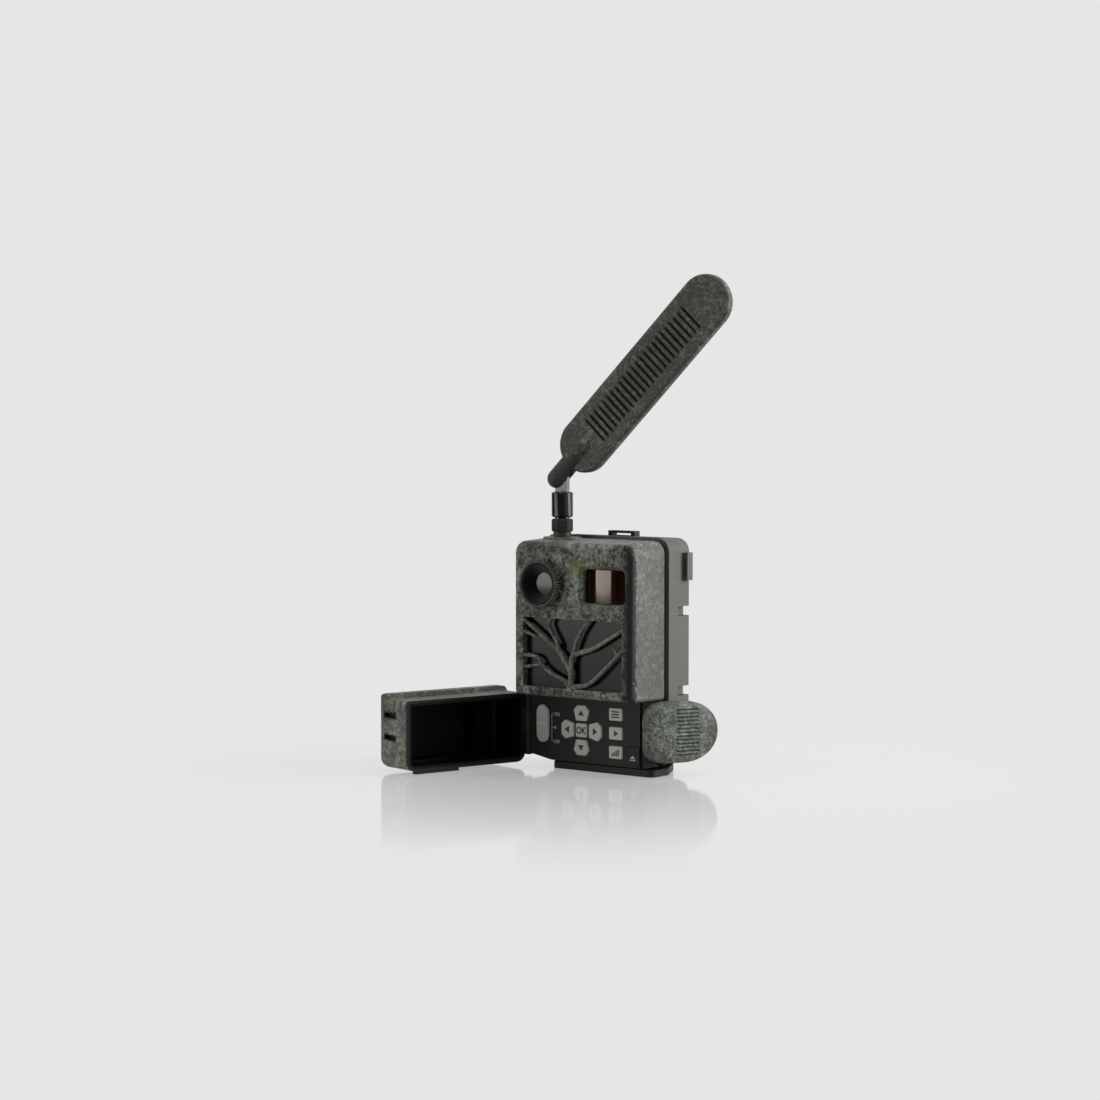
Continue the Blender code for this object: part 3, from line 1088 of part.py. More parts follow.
def door():
    hinge = pivot("door_hinge", (HINGE_X, HINGE_Y, 0), (0, 0, math.radians(-DOOR_OPEN_DEG)))
    brow_end = FRONT_Y - DOOR_BROW_GAP - HINGE_Y
    rings = rounded_front(brow_ring, DOOR_FACE, DOOR_EDGE)
    rings += [brow_ring(brow_end - DOOR_BROW_RAMP, 0), door_ring(brow_end, 0), door_ring(DOOR_RIM, 0)]
    shell = part("door_shell", loft("door_shell", rings), CAMO, parent=hinge)
    floor = DOOR_FACE + DOOR_WALL
    cut(shell, loft("door_inside", [door_ring(floor, DOOR_EDGE), door_ring(floor + DOOR_EDGE / 2, DOOR_WALL),
                                    door_ring(DOOR_RIM + OVERCUT, DOOR_WALL)]))
    skirt_low = DOOR_BOTTOM - SKIRT_DROP
    join(shell, box("door_skirt", (DOOR_RIGHT - SKIRT_LENGTH, DOOR_RIM - SKIRT_THICK, skirt_low),
                    (DOOR_RIGHT - DOOR_LOW_CORNER, DOOR_RIM, DOOR_BOTTOM + DOOR_WALL / 2)))
    first, second, third, fourth = KNUCKLE_ENDS
    for low, high in ((first, second - FIT_GAP), (third + FIT_GAP, fourth)):
        join(shell, upright_rod("door_knuckle", 0, 0, low, high, KNUCKLE_RADIUS))
        join(shell, box("door_knuckle_web", (-KNUCKLE_RADIUS / 8, DOOR_RIM - DOOR_WALL, low + WEB_INSET),
                        (PANEL_LEFT - HINGE_X - FIT_GAP, -KNUCKLE_RADIUS / 4, high - WEB_INSET)))
    cut(shell, upright_rod("knuckle_relief", 0, 0, second - FIT_GAP, third + FIT_GAP,
                           KNUCKLE_RADIUS + 2 * FIT_GAP))
    cut(shell, upright_rod("door_pin_bore", 0, 0, 0, DOOR_TOP, HINGE_PIN_RADIUS + TURN_GAP, 12))
    front = LEVER_CLOSED_FRONT_Y + CLAW_SETBACK - HINGE_Y
    for height in CLAW_HEIGHTS:
        half = CLAW_THICK / 2 + SLOT_GAP
        cut(shell, box("claw_slot", (DOOR_RIGHT - DOOR_WALL - FIT_GAP / 2, front - SLOT_GAP, height - half),
                       (DOOR_RIGHT + OVERCUT, front + CLAW_LENGTH + SLOT_GAP, height + half)))
    outer = DOOR_WALL + FIT_GAP
    top = DOOR_RIM - LINER_SET_BACK
    liner = part("door_liner", loft("door_liner", [door_ring(floor + FIT_GAP, DOOR_EDGE + FIT_GAP),
                                                   door_ring(floor + DOOR_EDGE / 2 + FIT_GAP, outer),
                                                   door_ring(top, outer)]), BLACK, parent=hinge)
    inner = outer + LINER_WALL
    cut(liner, loft("liner_inside", [door_ring(floor + FIT_GAP + LINER_WALL, DOOR_EDGE + LINER_WALL),
                                     door_ring(floor + DOOR_EDGE / 2 + 2 * FIT_GAP, inner),
                                     door_ring(top + OVERCUT, inner)]))
    deep = floor + FIT_GAP + LINER_WALL / 2
    end = DOOR_EDGE + LINER_WALL
    join(liner, box("liner_rib", (LINER_RIB_X - LINER_WALL / 2, deep, DOOR_BOTTOM + end),
                    (LINER_RIB_X + LINER_WALL / 2, deep + LINER_RIB_HEIGHT, DOOR_TOP - end)))
    ledge = DOOR_BOTTOM + inner
    back = DOOR_RIM - BAR_SET_BACK
    join(liner, box("liner_ledge", (LEDGE_START, back - LEDGE_WIDTH, ledge - LINER_WALL / 2),
                    (DOOR_RIGHT - LEDGE_FROM_END, back, ledge + LEDGE_RISE)))
    rings = [door_ring(top + FIT_GAP, outer), door_ring(DOOR_RIM + FIT_GAP, outer)]
    seal = part("door_gasket", loft("door_gasket", rings), RUBBER, parent=hinge)
    hole = outer + DOOR_SEAL_WIDTH
    cut(seal, loft("door_gasket_hole", [door_ring(top, hole), door_ring(DOOR_RIM + OVERCUT, hole)]))


# Latch: a link on the body's post carries the lever, whose claws enter the closed door's end

def lever_outline(shrink, share):
    # A superellipse with a square front half and a rounder nose, sampled round the lever's widest line.
    nose = LEVER_LENGTH - LEVER_FRONT_HALF - shrink
    front = LEVER_FRONT_HALF - shrink
    half = LEVER_HEIGHT / 2 - shrink
    points = []
    for step in range(32):
        angle = math.radians(360 * (step + 0.5) / 32)
        c, s = math.cos(angle), math.sin(angle)
        power = LEVER_NOSE_POWER if c > 0 else LEVER_FRONT_POWER
        reach = nose if c > 0 else front
        radius = (abs(c / reach) ** power + abs(s / half) ** power) ** (-1 / power)
        points.append((share * radius * c, share * radius * s))
    return points


def lever_height(share, rim, top):
    return rim + (top - rim) * math.sqrt(max(0.0, 1 - share ** 2.6))


def lever_ring(shrink, share, height):
    # Lever frame: x is outward, y runs from the pin to the nose.
    return [(height - LEVER_PIN_UP, along, LEVER_Z + up) for along, up in lever_outline(shrink, share)]


def lever_surface(along, up):
    reach = LEVER_LENGTH - LEVER_FRONT_HALF if along > 0 else LEVER_FRONT_HALF
    power = LEVER_NOSE_POWER if along > 0 else LEVER_FRONT_POWER
    share = (abs(along / reach) ** power + abs(2 * up / LEVER_HEIGHT) ** power) ** (1 / power)
    return lever_height(share, LEVER_RIM, LEVER_TOP) - LEVER_PIN_UP


def latch():
    post, open_pin, _ = latch_points()
    swing = open_pin - post
    link_pivot = pivot("latch_link_pivot", (post.x, post.y, 0), (0, 0, math.atan2(swing.y, swing.x)))
    reach = swing.length
    lever_turn = math.radians(-LEVER_OPEN_DEG) - math.atan2(swing.y, swing.x)
    lever_pivot = pivot("latch_lever_pivot", (reach, 0, 0), (0, 0, lever_turn), link_pivot)

    bottom = LATCH_Z - LATCH_LINK_HEIGHT / 2
    strap = turned_outline(stadium(2 * LATCH_EYE_RADIUS, reach + 2 * LATCH_EYE_RADIUS, 6), 90)
    strap = plate("latch_link", strap, bottom, bottom + LATCH_LINK_HEIGHT, reach / 2)
    link = part("latch_link", strap, STEEL, parent=link_pivot)
    for x in (0, reach):
        cut(link, upright_rod("link_bore", x, 0, 0, DOOR_TOP, LATCH_PIN_RADIUS + TURN_GAP, 12))
    (low, _), (_, high) = latch_levels()
    part("latch_post_pin", upright_rod("latch_post_pin", post.x, post.y, low - FIT_GAP, high + FIT_GAP,
                                       LATCH_PIN_RADIUS, 12), STEEL)
    pin = upright_rod("latch_lever_pin", 0, 0, low - FIT_GAP, high + FIT_GAP, LATCH_PIN_RADIUS, 12)
    part("latch_lever_pin", pin, STEEL, parent=lever_pivot)

    shares = (1.0, 0.985, 0.95, 0.88, 0.76, 0.58, 0.34, 0.12)
    rings = [lever_ring(0, 1.0, 0)]
    rings += [lever_ring(0, s, lever_height(s, LEVER_RIM, LEVER_TOP)) for s in shares]
    lever = part("latch_lever", loft("latch_lever", rings), CAMO, parent=lever_pivot)
    shares = (1.0, 0.95, 0.76, 0.34)
    rim, top = LEVER_RIM - LEVER_WALL / 2, LEVER_TOP - LEVER_WALL
    rings = [lever_ring(LEVER_WALL, 1.0, -OVERCUT)]
    rings += [lever_ring(LEVER_WALL, s, lever_height(s, rim, top)) for s in shares]
    cut(lever, loft("lever_inside", rings))
    roof = LEVER_TOP - LEVER_WALL / 2 - LEVER_PIN_UP
    for low, high in latch_levels():
        join(lever, box("lever_lug", (-LATCH_EYE_RADIUS, -LATCH_EYE_RADIUS, low),
                        (roof, LATCH_EYE_RADIUS, high)))
    cut(lever, upright_rod("lever_bore", 0, 0, 0, DOOR_TOP, LATCH_PIN_RADIUS + TURN_GAP, 12))
    start = CLAW_SETBACK - LEVER_FRONT_HALF
    for height in CLAW_HEIGHTS:
        half = CLAW_THICK / 2
        into_roof = lever_surface(start, height - LEVER_Z) - LEVER_WALL / 2
        join(lever, box("claw", (-LEVER_PIN_UP - CLAW_REACH, start, height - half),
                        (into_roof, start + CLAW_LENGTH, height + half)))
    for number in range(RIB_COUNT):
        up = (number - (RIB_COUNT - 1) / 2) * RIB_PITCH
        points = []
        for step in range(4):
            along = RIB_START + RIB_LENGTH * step / 3 - LEVER_FRONT_HALF
            points.append((lever_surface(along, up) + RIB_RADIUS * 0.2, along, LEVER_Z + up))
        cut(lever, tube(f"lever_groove_{number}", points, [RIB_RADIUS] * 4, sides_step=0, steps=1))


# Antenna

def ridged_outline(radius, depth, count):
    points = []
    for step in range(2 * count):
        angle = math.pi * step / count
        reach = radius - depth * (step % 2)
        points.append((reach * math.cos(angle), reach * math.sin(angle)))
    return points


def antenna_mast():
    axis = {"location": (ANTENNA_X, ANTENNA_Y, 0)}
    under = COVER_TOP - COVER_WALL - POST_TAIL
    flange = PAD_TOP + FIT_GAP
    post_top = NUT_BOTTOM + NUT_HEIGHT - POST_TOP_DOWN
    turned("antenna_socket", [(0, post_top), (SOCKET_POST_RADIUS, post_top), (SOCKET_POST_RADIUS, SOCKET_TOP),
                              (SOCKET_FLANGE_RADIUS, SOCKET_TOP), (SOCKET_FLANGE_RADIUS, flange),
                              (SOCKET_POST_RADIUS, flange), (SOCKET_POST_RADIUS, under), (0, under)],
           DARK_METAL, sides=20, **axis)
    ridged = ridged_outline(NUT_RADIUS, NUT_GROOVE, NUT_RIDGES)
    nut_top = NUT_BOTTOM + NUT_HEIGHT
    ends = scaled(ridged, NUT_END_SHARE)
    rings = [level(ends, NUT_BOTTOM), level(ridged, NUT_BOTTOM + NUT_CHAMFER),
             level(ridged, nut_top - NUT_CHAMFER), level(ends, nut_top)]
    nut = part("antenna_nut", loft("antenna_nut", rings), DARK_METAL, **axis)
    cut(nut, upright_rod("nut_bore", 0, 0, NUT_BOTTOM - OVERCUT, MAST_BOTTOM + OVERCUT,
                         SOCKET_POST_RADIUS + TURN_GAP))

    swivel = pivot("antenna_swivel", (ANTENNA_X, ANTENNA_Y, 0), (0, 0, math.radians(ANTENNA_TURN_DEG)))
    neck = MAST_BOTTOM + MAST_NECK
    end_radius = MAST_RADIUS - MAST_CHAMFER
    profile = [(0, MAST_TOP), (end_radius, MAST_TOP), (MAST_RADIUS, MAST_TOP - MAST_CHAMFER),
               (MAST_RADIUS, neck + MAST_CHAMFER), (end_radius, neck), (MAST_NECK_RADIUS, neck),
               (MAST_NECK_RADIUS, MAST_BOTTOM), (0, MAST_BOTTOM)]
    mast = turned("antenna_mast", profile, BLACK, sides=24, parent=swivel)
    half_width, half_thick = TONGUE_WIDTH / 2, TONGUE_THICK / 2
    seat = MAST_TOP - TONGUE_SEAT
    cut(mast, box("tongue_seat", (-half_width - FIT_GAP, -half_thick - FIT_GAP, seat - FIT_GAP),
                  (half_width + FIT_GAP, half_thick + FIT_GAP, MAST_TOP + OVERCUT)))
    outline = [(half_width * math.cos(a), half_width * math.sin(a))
               for a in (math.radians(22.5 * step) for step in range(9))]
    outline += [(-half_width, seat - PIVOT_Z), (half_width, seat - PIVOT_Z)]
    strip = slab("antenna_tongue", outline, -half_thick, half_thick, 0, PIVOT_Z)
    tongue = part("antenna_tongue", strip, STEEL, parent=swivel)
    cut(tongue, deep_rod("tongue_bore", 0, PIVOT_Z, -half_thick - OVERCUT, half_thick + OVERCUT,
                         PIVOT_PIN_RADIUS + TURN_GAP, 12))
    end = STEM_RADIUS - FIT_GAP
    pin = deep_rod("antenna_pin", 0, PIVOT_Z, -end, end, PIVOT_PIN_RADIUS, 12)
    part("antenna_pin", pin, STEEL, parent=swivel)
    return swivel


def stem_profile(grow):
    bend = STEM_TAIL - STEM_RADIUS
    radius = STEM_RADIUS + grow
    tip = STEM_TIP + grow
    profile = [(0, tip), (STEM_TIP_RADIUS + grow, tip), (radius, STEM_SHOULDER)]
    for step in range(5):
        angle = math.radians(90 * step / 5)
        profile.append((radius * math.cos(angle), -bend - radius * math.sin(angle)))
    profile.append((0, -STEM_TAIL - grow))
    return profile


def antenna_blade(swivel):
    tilt = pivot("antenna_tilt", (0, 0, PIVOT_Z), (0, math.radians(ANTENNA_TILT_DEG), 0), swivel)
    stem = turned("antenna_stem", stem_profile(0), CAMO, sides=20, parent=tilt)
    gap = TONGUE_THICK / 2 + TURN_GAP
    cut(stem, box("fork_slot", (-STEM_TAIL, -gap, -STEM_TAIL - OVERCUT),
                  (STEM_TAIL, gap, TONGUE_WIDTH / 2 + FORK_SPARE)))
    cut(stem, deep_rod("stem_bore", 0, 0, -STEM_RADIUS - OVERCUT, STEM_RADIUS + OVERCUT,
                       PIVOT_PIN_RADIUS + TURN_GAP, 12))
    middle = BLADE_LIFT + (BLADE_LENGTH - BLADE_WIDTH) / 2
    for name, side in (("antenna_front_half", -1), ("antenna_back_half", 1)):
        rings = []
        thick = BLADE_HALF_THICK
        rounding = ((FIT_GAP / 2, 0), (0.45 * thick, 0), (0.8 * thick, 0.35 * BLADE_EDGE),
                    (thick, BLADE_EDGE))
        for height, inset in rounding:
            outline = stadium(BLADE_WIDTH - 2 * inset, BLADE_LENGTH - 2 * inset, 12)
            rings.append(facing(outline, side * height, 0, middle))
        half = part(name, loft(name, rings), CAMO, parent=tilt)
        cut(half, turned_mesh(name + "_socket", stem_profile(FIT_GAP), 20))
        if side < 0:
            cut(half, blade_grooves())


def turned_mesh(name, profile, sides):
    bm = bmesh.new()
    knots = [bm.verts.new((radius, 0, height)) for radius, height in profile]
    edges = [bm.edges.new(pair) for pair in zip(knots, knots[1:])]
    bmesh.ops.spin(bm, geom=knots + edges, axis=(0, 0, 1), cent=(0, 0, 0), steps=sides, angle=2 * math.pi)
    bmesh.ops.remove_doubles(bm, verts=bm.verts, dist=0.000001)
    return mesh_of(bm, name)


def blade_grooves():
    strips = []
    for number in range(GROOVE_COUNT):
        middle = BLADE_LIFT + GROOVE_START + number * GROOVE_PITCH
        half = GROOVE_LENGTH / 2 * (END_GROOVE_SHARE if number in (0, GROOVE_COUNT - 1) else 1)
        strips.append(box("groove", (-half, -BLADE_HALF_THICK - OVERCUT, middle - GROOVE_WIDTH / 2),
                          (half, -BLADE_HALF_THICK + GROOVE_DEPTH, middle + GROOVE_WIDTH / 2)))
    return merged("blade_grooves", strips)


for old in list(bpy.data.objects):
    bpy.data.objects.remove(old, do_unlink=True)
PARTS = new_collection(OBJECT_NAME)
CUTTERS = new_collection(OBJECT_NAME + "_cutters")

front_cover()
lens()
motion_sensor()
lamps_and_boards()
rear_shell()
rear_details()
control_panel()
keys()
panel_details()
battery_tray()
door()
latch()
antenna_blade(antenna_mast())
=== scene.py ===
import json
import math

import bmesh
import bpy
import numpy as np
from mathutils import Matrix, Vector


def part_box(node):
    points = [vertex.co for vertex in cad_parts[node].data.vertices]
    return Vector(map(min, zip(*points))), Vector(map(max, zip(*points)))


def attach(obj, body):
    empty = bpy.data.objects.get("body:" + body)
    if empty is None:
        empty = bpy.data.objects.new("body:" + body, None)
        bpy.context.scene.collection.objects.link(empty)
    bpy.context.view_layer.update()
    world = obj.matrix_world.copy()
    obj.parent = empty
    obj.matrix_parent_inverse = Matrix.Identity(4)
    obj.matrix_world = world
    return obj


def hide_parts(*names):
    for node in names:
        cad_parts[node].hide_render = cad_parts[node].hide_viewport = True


# Looks of a trail camera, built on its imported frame. Metres, +Z up, the lens looks along -Y.

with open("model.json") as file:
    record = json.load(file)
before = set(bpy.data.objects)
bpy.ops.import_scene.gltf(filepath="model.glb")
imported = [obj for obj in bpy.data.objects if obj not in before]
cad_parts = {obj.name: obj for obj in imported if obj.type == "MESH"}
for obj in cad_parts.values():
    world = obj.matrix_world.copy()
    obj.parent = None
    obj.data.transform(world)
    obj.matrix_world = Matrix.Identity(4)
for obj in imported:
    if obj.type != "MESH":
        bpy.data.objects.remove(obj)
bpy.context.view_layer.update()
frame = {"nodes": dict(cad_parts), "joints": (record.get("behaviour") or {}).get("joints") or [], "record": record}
nodes = frame["nodes"]
bodies = frame["record"]["behaviour"]["bodies"]
bodyOf = {node: body for body, members in bodies.items() for node in members}
joints = {joint["name"]: joint for joint in frame["joints"]}


# Shader maths

class Signal:
    # a shader socket that adds, subtracts and scales like a number
    def __init__(self, shading, socket):
        self.shading = shading
        self.socket = socket

    def maths(self, operation, first, second):
        # one Math node
        return self.shading.node("ShaderNodeMath", {"operation": operation}, [first, second])

    def __add__(self, other):
        return self.maths("ADD", self, other)

    def __sub__(self, other):
        return self.maths("SUBTRACT", self, other)

    def __rsub__(self, other):
        return self.maths("SUBTRACT", other, self)

    def __mul__(self, other):
        return self.maths("MULTIPLY", self, other)

    def __abs__(self):
        return self.maths("ABSOLUTE", self, 0.0)

    __radd__ = __add__
    __rmul__ = __mul__


class Shading:
    # a node tree, and the one way to add a node to it
    def __init__(self, tree):
        self.tree = tree

    def feed(self, socket, value):
        # a signal is linked, anything else is the socket's own value
        if isinstance(value, Signal):
            self.tree.links.new(value.socket, socket)
        else:
            socket.default_value = value

    def node(self, kind, settings=None, inputs=(), out=0):
        # a node by its type, its settings and its inputs, by place or by name; gives one output
        made = self.tree.nodes.new(kind)
        for key, value in (settings or {}).items():
            setattr(made, key, value)
        pairs = inputs.items() if isinstance(inputs, dict) else enumerate(inputs)
        for key, value in pairs:
            self.feed(made.inputs[key], value)
        return Signal(self, made.outputs[out])

    def blend(self, share, first, second):
        # the first colour at share 0, the second at share 1
        first, second = (c + (1.0,) if isinstance(c, tuple) else c for c in (first, second))
        return self.node("ShaderNodeMix", {"data_type": "RGBA"}, {0: share, 6: first, 7: second}, 2)


class Paint(Shading):
    # one material: its shader, its object coordinates, and short ways to patterns on them
    def __init__(self, name, slot=None, fixed=None):
        self.slot = slot
        self.material = bpy.data.materials.new(name)
        self.material.use_nodes = True
        super().__init__(self.material.node_tree)
        self.shader = self.tree.nodes["Principled BSDF"]
        for socket, value in (fixed or {}).items():
            self.shader.inputs[socket].default_value = value
        self.place = self.node("ShaderNodeTexCoord", out="Object")

    def moved(self, shift, scale=(1, 1, 1), turn=(0, 0, 0)):
        # the coordinates scaled, turned and then shifted
        return self.node("ShaderNodeMapping", None, {
            "Vector": self.place, "Location": shift, "Scale": scale, "Rotation": turn})

    def noise(self, size, detail, rough, place=None):
        # cloudy noise round 0.5, with features of about this size in metres
        return self.node("ShaderNodeTexNoise", None, {
            "Vector": place or self.place, "Scale": 1 / size, "Detail": detail, "Roughness": rough})

    def step(self, signal, low, high):
        # 0 below low, 1 above high, and smooth between them
        return self.node("ShaderNodeMapRange", {"interpolation_type": "SMOOTHSTEP"},
                         [signal, low, high, 0.0, 1.0])

    def along(self, axis, place=None):
        # one coordinate
        return self.node("ShaderNodeSeparateXYZ", None, [place or self.place], "XYZ".index(axis))

    def far(self, point):
        # the distance from a point
        return self.node("ShaderNodeVectorMath", {"operation": "DISTANCE"}, [self.place, point], 1)

    def tag(self, name):
        # a value that the mesh carries at its points
        return self.node("ShaderNodeAttribute", {"attribute_name": name}, out="Fac")

    def relief(self, height, depth):
        # bumps of this depth in metres, where height goes from 0 to 1
        bump = self.node("ShaderNodeBump", None,
                         {"Height": height, "Distance": depth, "Strength": 1.0})
        self.feed(self.shader.inputs["Normal"], bump)

    def wear(self, **sockets):
        # feeds the shader's own sockets, by short names
        names = {"colour": "Base Color", "rough": "Roughness", "metal": "Metallic"}
        for key, value in sockets.items():
            self.feed(self.shader.inputs[names[key]], value)
        return self

    def surface(self, signal):
        # another shader in place of the material's own
        self.feed(self.tree.nodes["Material Output"].inputs["Surface"], signal)


# Finishes

# every noise in a look is (size in metres, detail, roughness)
camoLook = {
    "deep": (0.064, 0.075, 0.061), "ground": (0.140, 0.155, 0.130), "pale": (0.395, 0.415, 0.358),
    "black": (0.006, 0.007, 0.006), "lime": (0.165, 0.235, 0.070), "earth": (0.130, 0.112, 0.085),
    "cloud": (0.030, 3, 0.55), "mottle": (0.0056, 5, 0.62), "grit": (0.0021, 3, 0.6),
    "dust": (0.0010, 2, 0.6), "patch": (0.026, 2, 0.5), "patchShift": 3.1, "bloomShift": -2.3,
    "toneShares": (0.30, 0.36, 0.46), "tornShares": (0.40, 0.34), "bumpShares": (0.6, 0.4),
    "groundFrom": (0.48, 0.57), "limeGrit": (0.42, 0.60), "limeFrom": (0.95, 1.01),
    "blackFrom": (0.675, 0.745), "cavityShade": 0.92, "bumpDepth": 0.00006, "gloss": 0.22,
    "rough": 0.52, "dustRough": 0.22, "sootRough": 0.08,
}
# painted light: a paler copy of the camouflage for the thin round branches and the collar knurl, which the lamps
# light less than the flat front
litBranchLook = dict(camoLook, deep=(0.075, 0.080, 0.070), ground=(0.165, 0.172, 0.150),
                  pale=(0.33, 0.34, 0.30))
bladeLook = dict(camoLook, ground=(0.085, 0.094, 0.079), pale=(0.265, 0.280, 0.240),
                 limeFrom=(0.66, 0.72))


def mixed(shares, *signals):
    # the sum of each signal times its share
    first, *rest = (share * signal for share, signal in zip(shares, signals))
    return sum(rest, first)


def camoPaint(name, shift, marks=None, look=camoLook):
    # stone camouflage: three greys by a sum of noises, then flecks and torn patches in layers,
    # each a share of the smooth step of its signal
    paint = Paint(name, "camo_plastic", {"Specular IOR Level": look["gloss"]})
    place = paint.moved(shift)
    cloud, mottle, grit, dust = (paint.noise(*look[key], place)
                                 for key in ("cloud", "mottle", "grit", "dust"))
    patch, bloom = (paint.noise(*look["patch"], paint.moved([s + look[key] for s in shift]))
                    for key in ("patchShift", "bloomShift"))
    torn = mixed(look["tornShares"], mottle - 0.5, grit - 0.5)
    tone = mixed(look["toneShares"], cloud, mottle, grit)
    limeTone = paint.blend(paint.step(grit, *look["limeGrit"]), look["deep"], look["lime"])
    layers = [
        # share, signal, where it starts, where it is full, colour
        (1.00, tone, *look["groundFrom"], look["ground"]),
        (0.30, bloom + torn, 0.50, 0.64, look["earth"]),
        (0.80, tone, 0.57, 0.68, look["pale"]),
        (0.62, dust, 0.58, 0.68, look["pale"]),
        (0.60, 1 - dust, 0.58, 0.68, look["black"]),
        (0.80, bloom + torn, *look["limeFrom"], limeTone),
        (0.90, patch + torn, *look["blackFrom"], look["black"]),
    ]
    colour = look["deep"]
    for share, signal, start, full, shade in layers:
        cover = share * paint.step(signal, start, full)
        colour = paint.blend(cover, colour, shade)
    soot = cover  # the last layer's
    if marks is not None:
        colour = marks(paint, colour, torn)
    # painted shade: the print goes toward black by each piece's painted-shade values, in grooves, knurl valleys
    # and on the lever's nose
    colour = paint.blend(look["cavityShade"] * paint.tag("cavityShade"), colour, look["black"])
    paint.relief(mixed(look["bumpShares"], grit, dust), look["bumpDepth"])
    rough = look["rough"] + look["dustRough"] * (dust - 0.5) + look["sootRough"] * soot
    return paint.wear(colour=colour, rough=rough)


def coverMarks(paint, colour, torn):
    # a calmer print on the sides, a lens collar darkened partly as print and partly as painted shade,
    # a band of painted shade down the rounded right edge, torn where it thins out, one lime smudge by the sensor
    mark = {"sideX": (0.0395, 0.0412), "calm": 0.55, "plain": (0.104, 0.111, 0.096),
            "proudY": (-0.0268, -0.0262), "proudTorn": 0.02, "collar": 0.70,
            "bandX": (0.0352, 0.0378), "bandY": (-0.0226, -0.0206), "bandTorn": 0.25,
            "smudge": (0.0040, -0.0260, 0.1135), "smudgeSize": (0.0030, 0.0060), "lime": 0.60,
            "spread": 0.055}
    across, deep, tear = paint.along("X"), paint.along("Y"), mark["spread"] * torn
    side = paint.step(abs(across), *mark["sideX"])
    colour = paint.blend(mark["calm"] * side, colour, mark["plain"])
    # the proud lens collar goes part way to black, partly dark print and partly painted shade
    proud = 1 - paint.step(deep + mark["proudTorn"] * torn, *mark["proudY"])
    colour = paint.blend(mark["collar"] * proud, colour, camoLook["black"])
    # painted shade: a dark band down the rounded right edge, which the lamps barely reach
    band = paint.step(across + tear, *mark["bandX"])
    band = band * (1 - paint.step(deep + mark["bandTorn"] * tear, *mark["bandY"]))
    colour = paint.blend(band, colour, camoLook["black"])
    smudge = 1 - paint.step(paint.far(mark["smudge"]) + tear, *mark["smudgeSize"])
    return paint.blend(mark["lime"] * smudge, colour, camoLook["lime"])


def doorMarks(paint, colour, torn):
    # bare black on the rim, the skirt and the hinge side, and painted shade round the two latch slots,
    # all told apart in the door's closed place
    mark = {"rim": (-0.0032, -0.0028), "skirt": (0.0016, 0.0020), "hingeX": (0.0028, 0.0032),
            "hingeY": (-0.0062, -0.0058), "slotZ": (0.0200, 0.0325), "slotY": 0.0193,
            "slotTall": (0.0015, 0.0027), "slotLong": (0.0056, 0.0070), "endX": (0.0800, 0.0812),
            "spread": 0.006}
    hinge = joints["door_hinge"]
    turn = Matrix.Rotation(math.radians(hinge["range_deg"][1]), 3, "Z")
    pin = Vector((hinge["pos_m"][0], hinge["pos_m"][1], 0))
    closed = paint.moved(tuple(-(turn @ pin)), turn=tuple(turn.to_euler()))
    across, deep, up = (paint.along(axis, closed) for axis in "XYZ")
    tear = mark["spread"] * torn
    rim = paint.step(deep, *mark["rim"])
    skirt = 1 - paint.step(up, *mark["skirt"])
    side = (1 - paint.step(across, *mark["hingeX"])) * paint.step(deep, *mark["hingeY"])
    # painted shade round the two latch slots
    end = paint.step(across, *mark["endX"])
    end = end * (1 - paint.step(abs(deep + mark["slotY"]) + tear, *mark["slotLong"]))
    slots = [end * (1 - paint.step(abs(up - z) + tear, *mark["slotTall"])) for z in mark["slotZ"]]
    for share in (rim, skirt, side, *slots):
        colour = paint.blend(share, colour, camoLook["black"])
    return colour


def stemMarks(paint, colour, torn):
    # the stem's lower end is bare dark plastic, and the print starts in flecks further up
    mark = {"reach": (0.0100, 0.0290), "spread": 0.075, "bare": (0.050, 0.051, 0.048)}
    height = paint.tag("along") + mark["spread"] * torn
    return paint.blend(paint.step(height, *mark["reach"]), mark["bare"], colour)


def shellMarks(paint, colour):
    # the strap ear on top is painted black, standing in for the shade in its thin strap slot
    mark = {"fromZ": (0.1318, 0.1321), "fromY": (0.0088, 0.0090), "black": (0.012, 0.012, 0.012)}
    ear = paint.step(paint.along("Z"), *mark["fromZ"]) * paint.step(paint.along("Y"), *mark["fromY"])
    return paint.blend(ear, colour, mark["black"])


def scaled(colour, share):
    # a colour made darker or paler
    return tuple(c * share for c in colour)


def plasticPaint(name, slot, colour, rough, grainSize=0.0007, grain=0.00003, spread=0.18,
                 gloss=0.5, marks=None):
    # moulded plastic: spark-eroded grain, slow change of tone and faint rubbed places
    look = {"tone": (0.022, 3, 0.55), "grain": (2, 0.6), "rub": (0.006, 4, 0.7),
            "rubFrom": (0.55, 0.75), "grainRough": 0.10, "rubShine": 0.06}
    paint = Paint(name, slot, {"Specular IOR Level": gloss})
    tone = paint.noise(*look["tone"])
    fine = paint.noise(grainSize, *look["grain"])
    rub = paint.step(paint.noise(*look["rub"]), *look["rubFrom"])
    paint.relief(fine, grain)
    colour = paint.blend(tone, scaled(colour, 1 - spread), scaled(colour, 1 + spread))
    if marks is not None:
        colour = marks(paint, colour)
    rough = rough + look["grainRough"] * (fine - 0.5) - look["rubShine"] * rub
    return paint.wear(colour=colour, rough=rough)


def metalPaint(name, slot, colour, rough, lines=(1, 1, 0.03), metal=1.0):
    # metal with brushed lines and duller handled spots
    look = {"line": (0.0004, 2, 0.6), "lineDepth": 0.000008, "lineRough": 0.2,
            "spot": (0.004, 3, 0.6), "spotFrom": (0.35, 0.70), "dull": 0.72}
    paint = Paint(name, slot, {"Metallic": metal})
    brushed = paint.noise(*look["line"], paint.moved((0, 0, 0), lines))
    spot = paint.step(paint.noise(*look["spot"]), *look["spotFrom"])
    paint.relief(brushed, look["lineDepth"])
    colour = paint.blend(spot, scaled(colour, look["dull"]), colour)
    return paint.wear(colour=colour, rough=rough + look["lineRough"] * (brushed - 0.5))


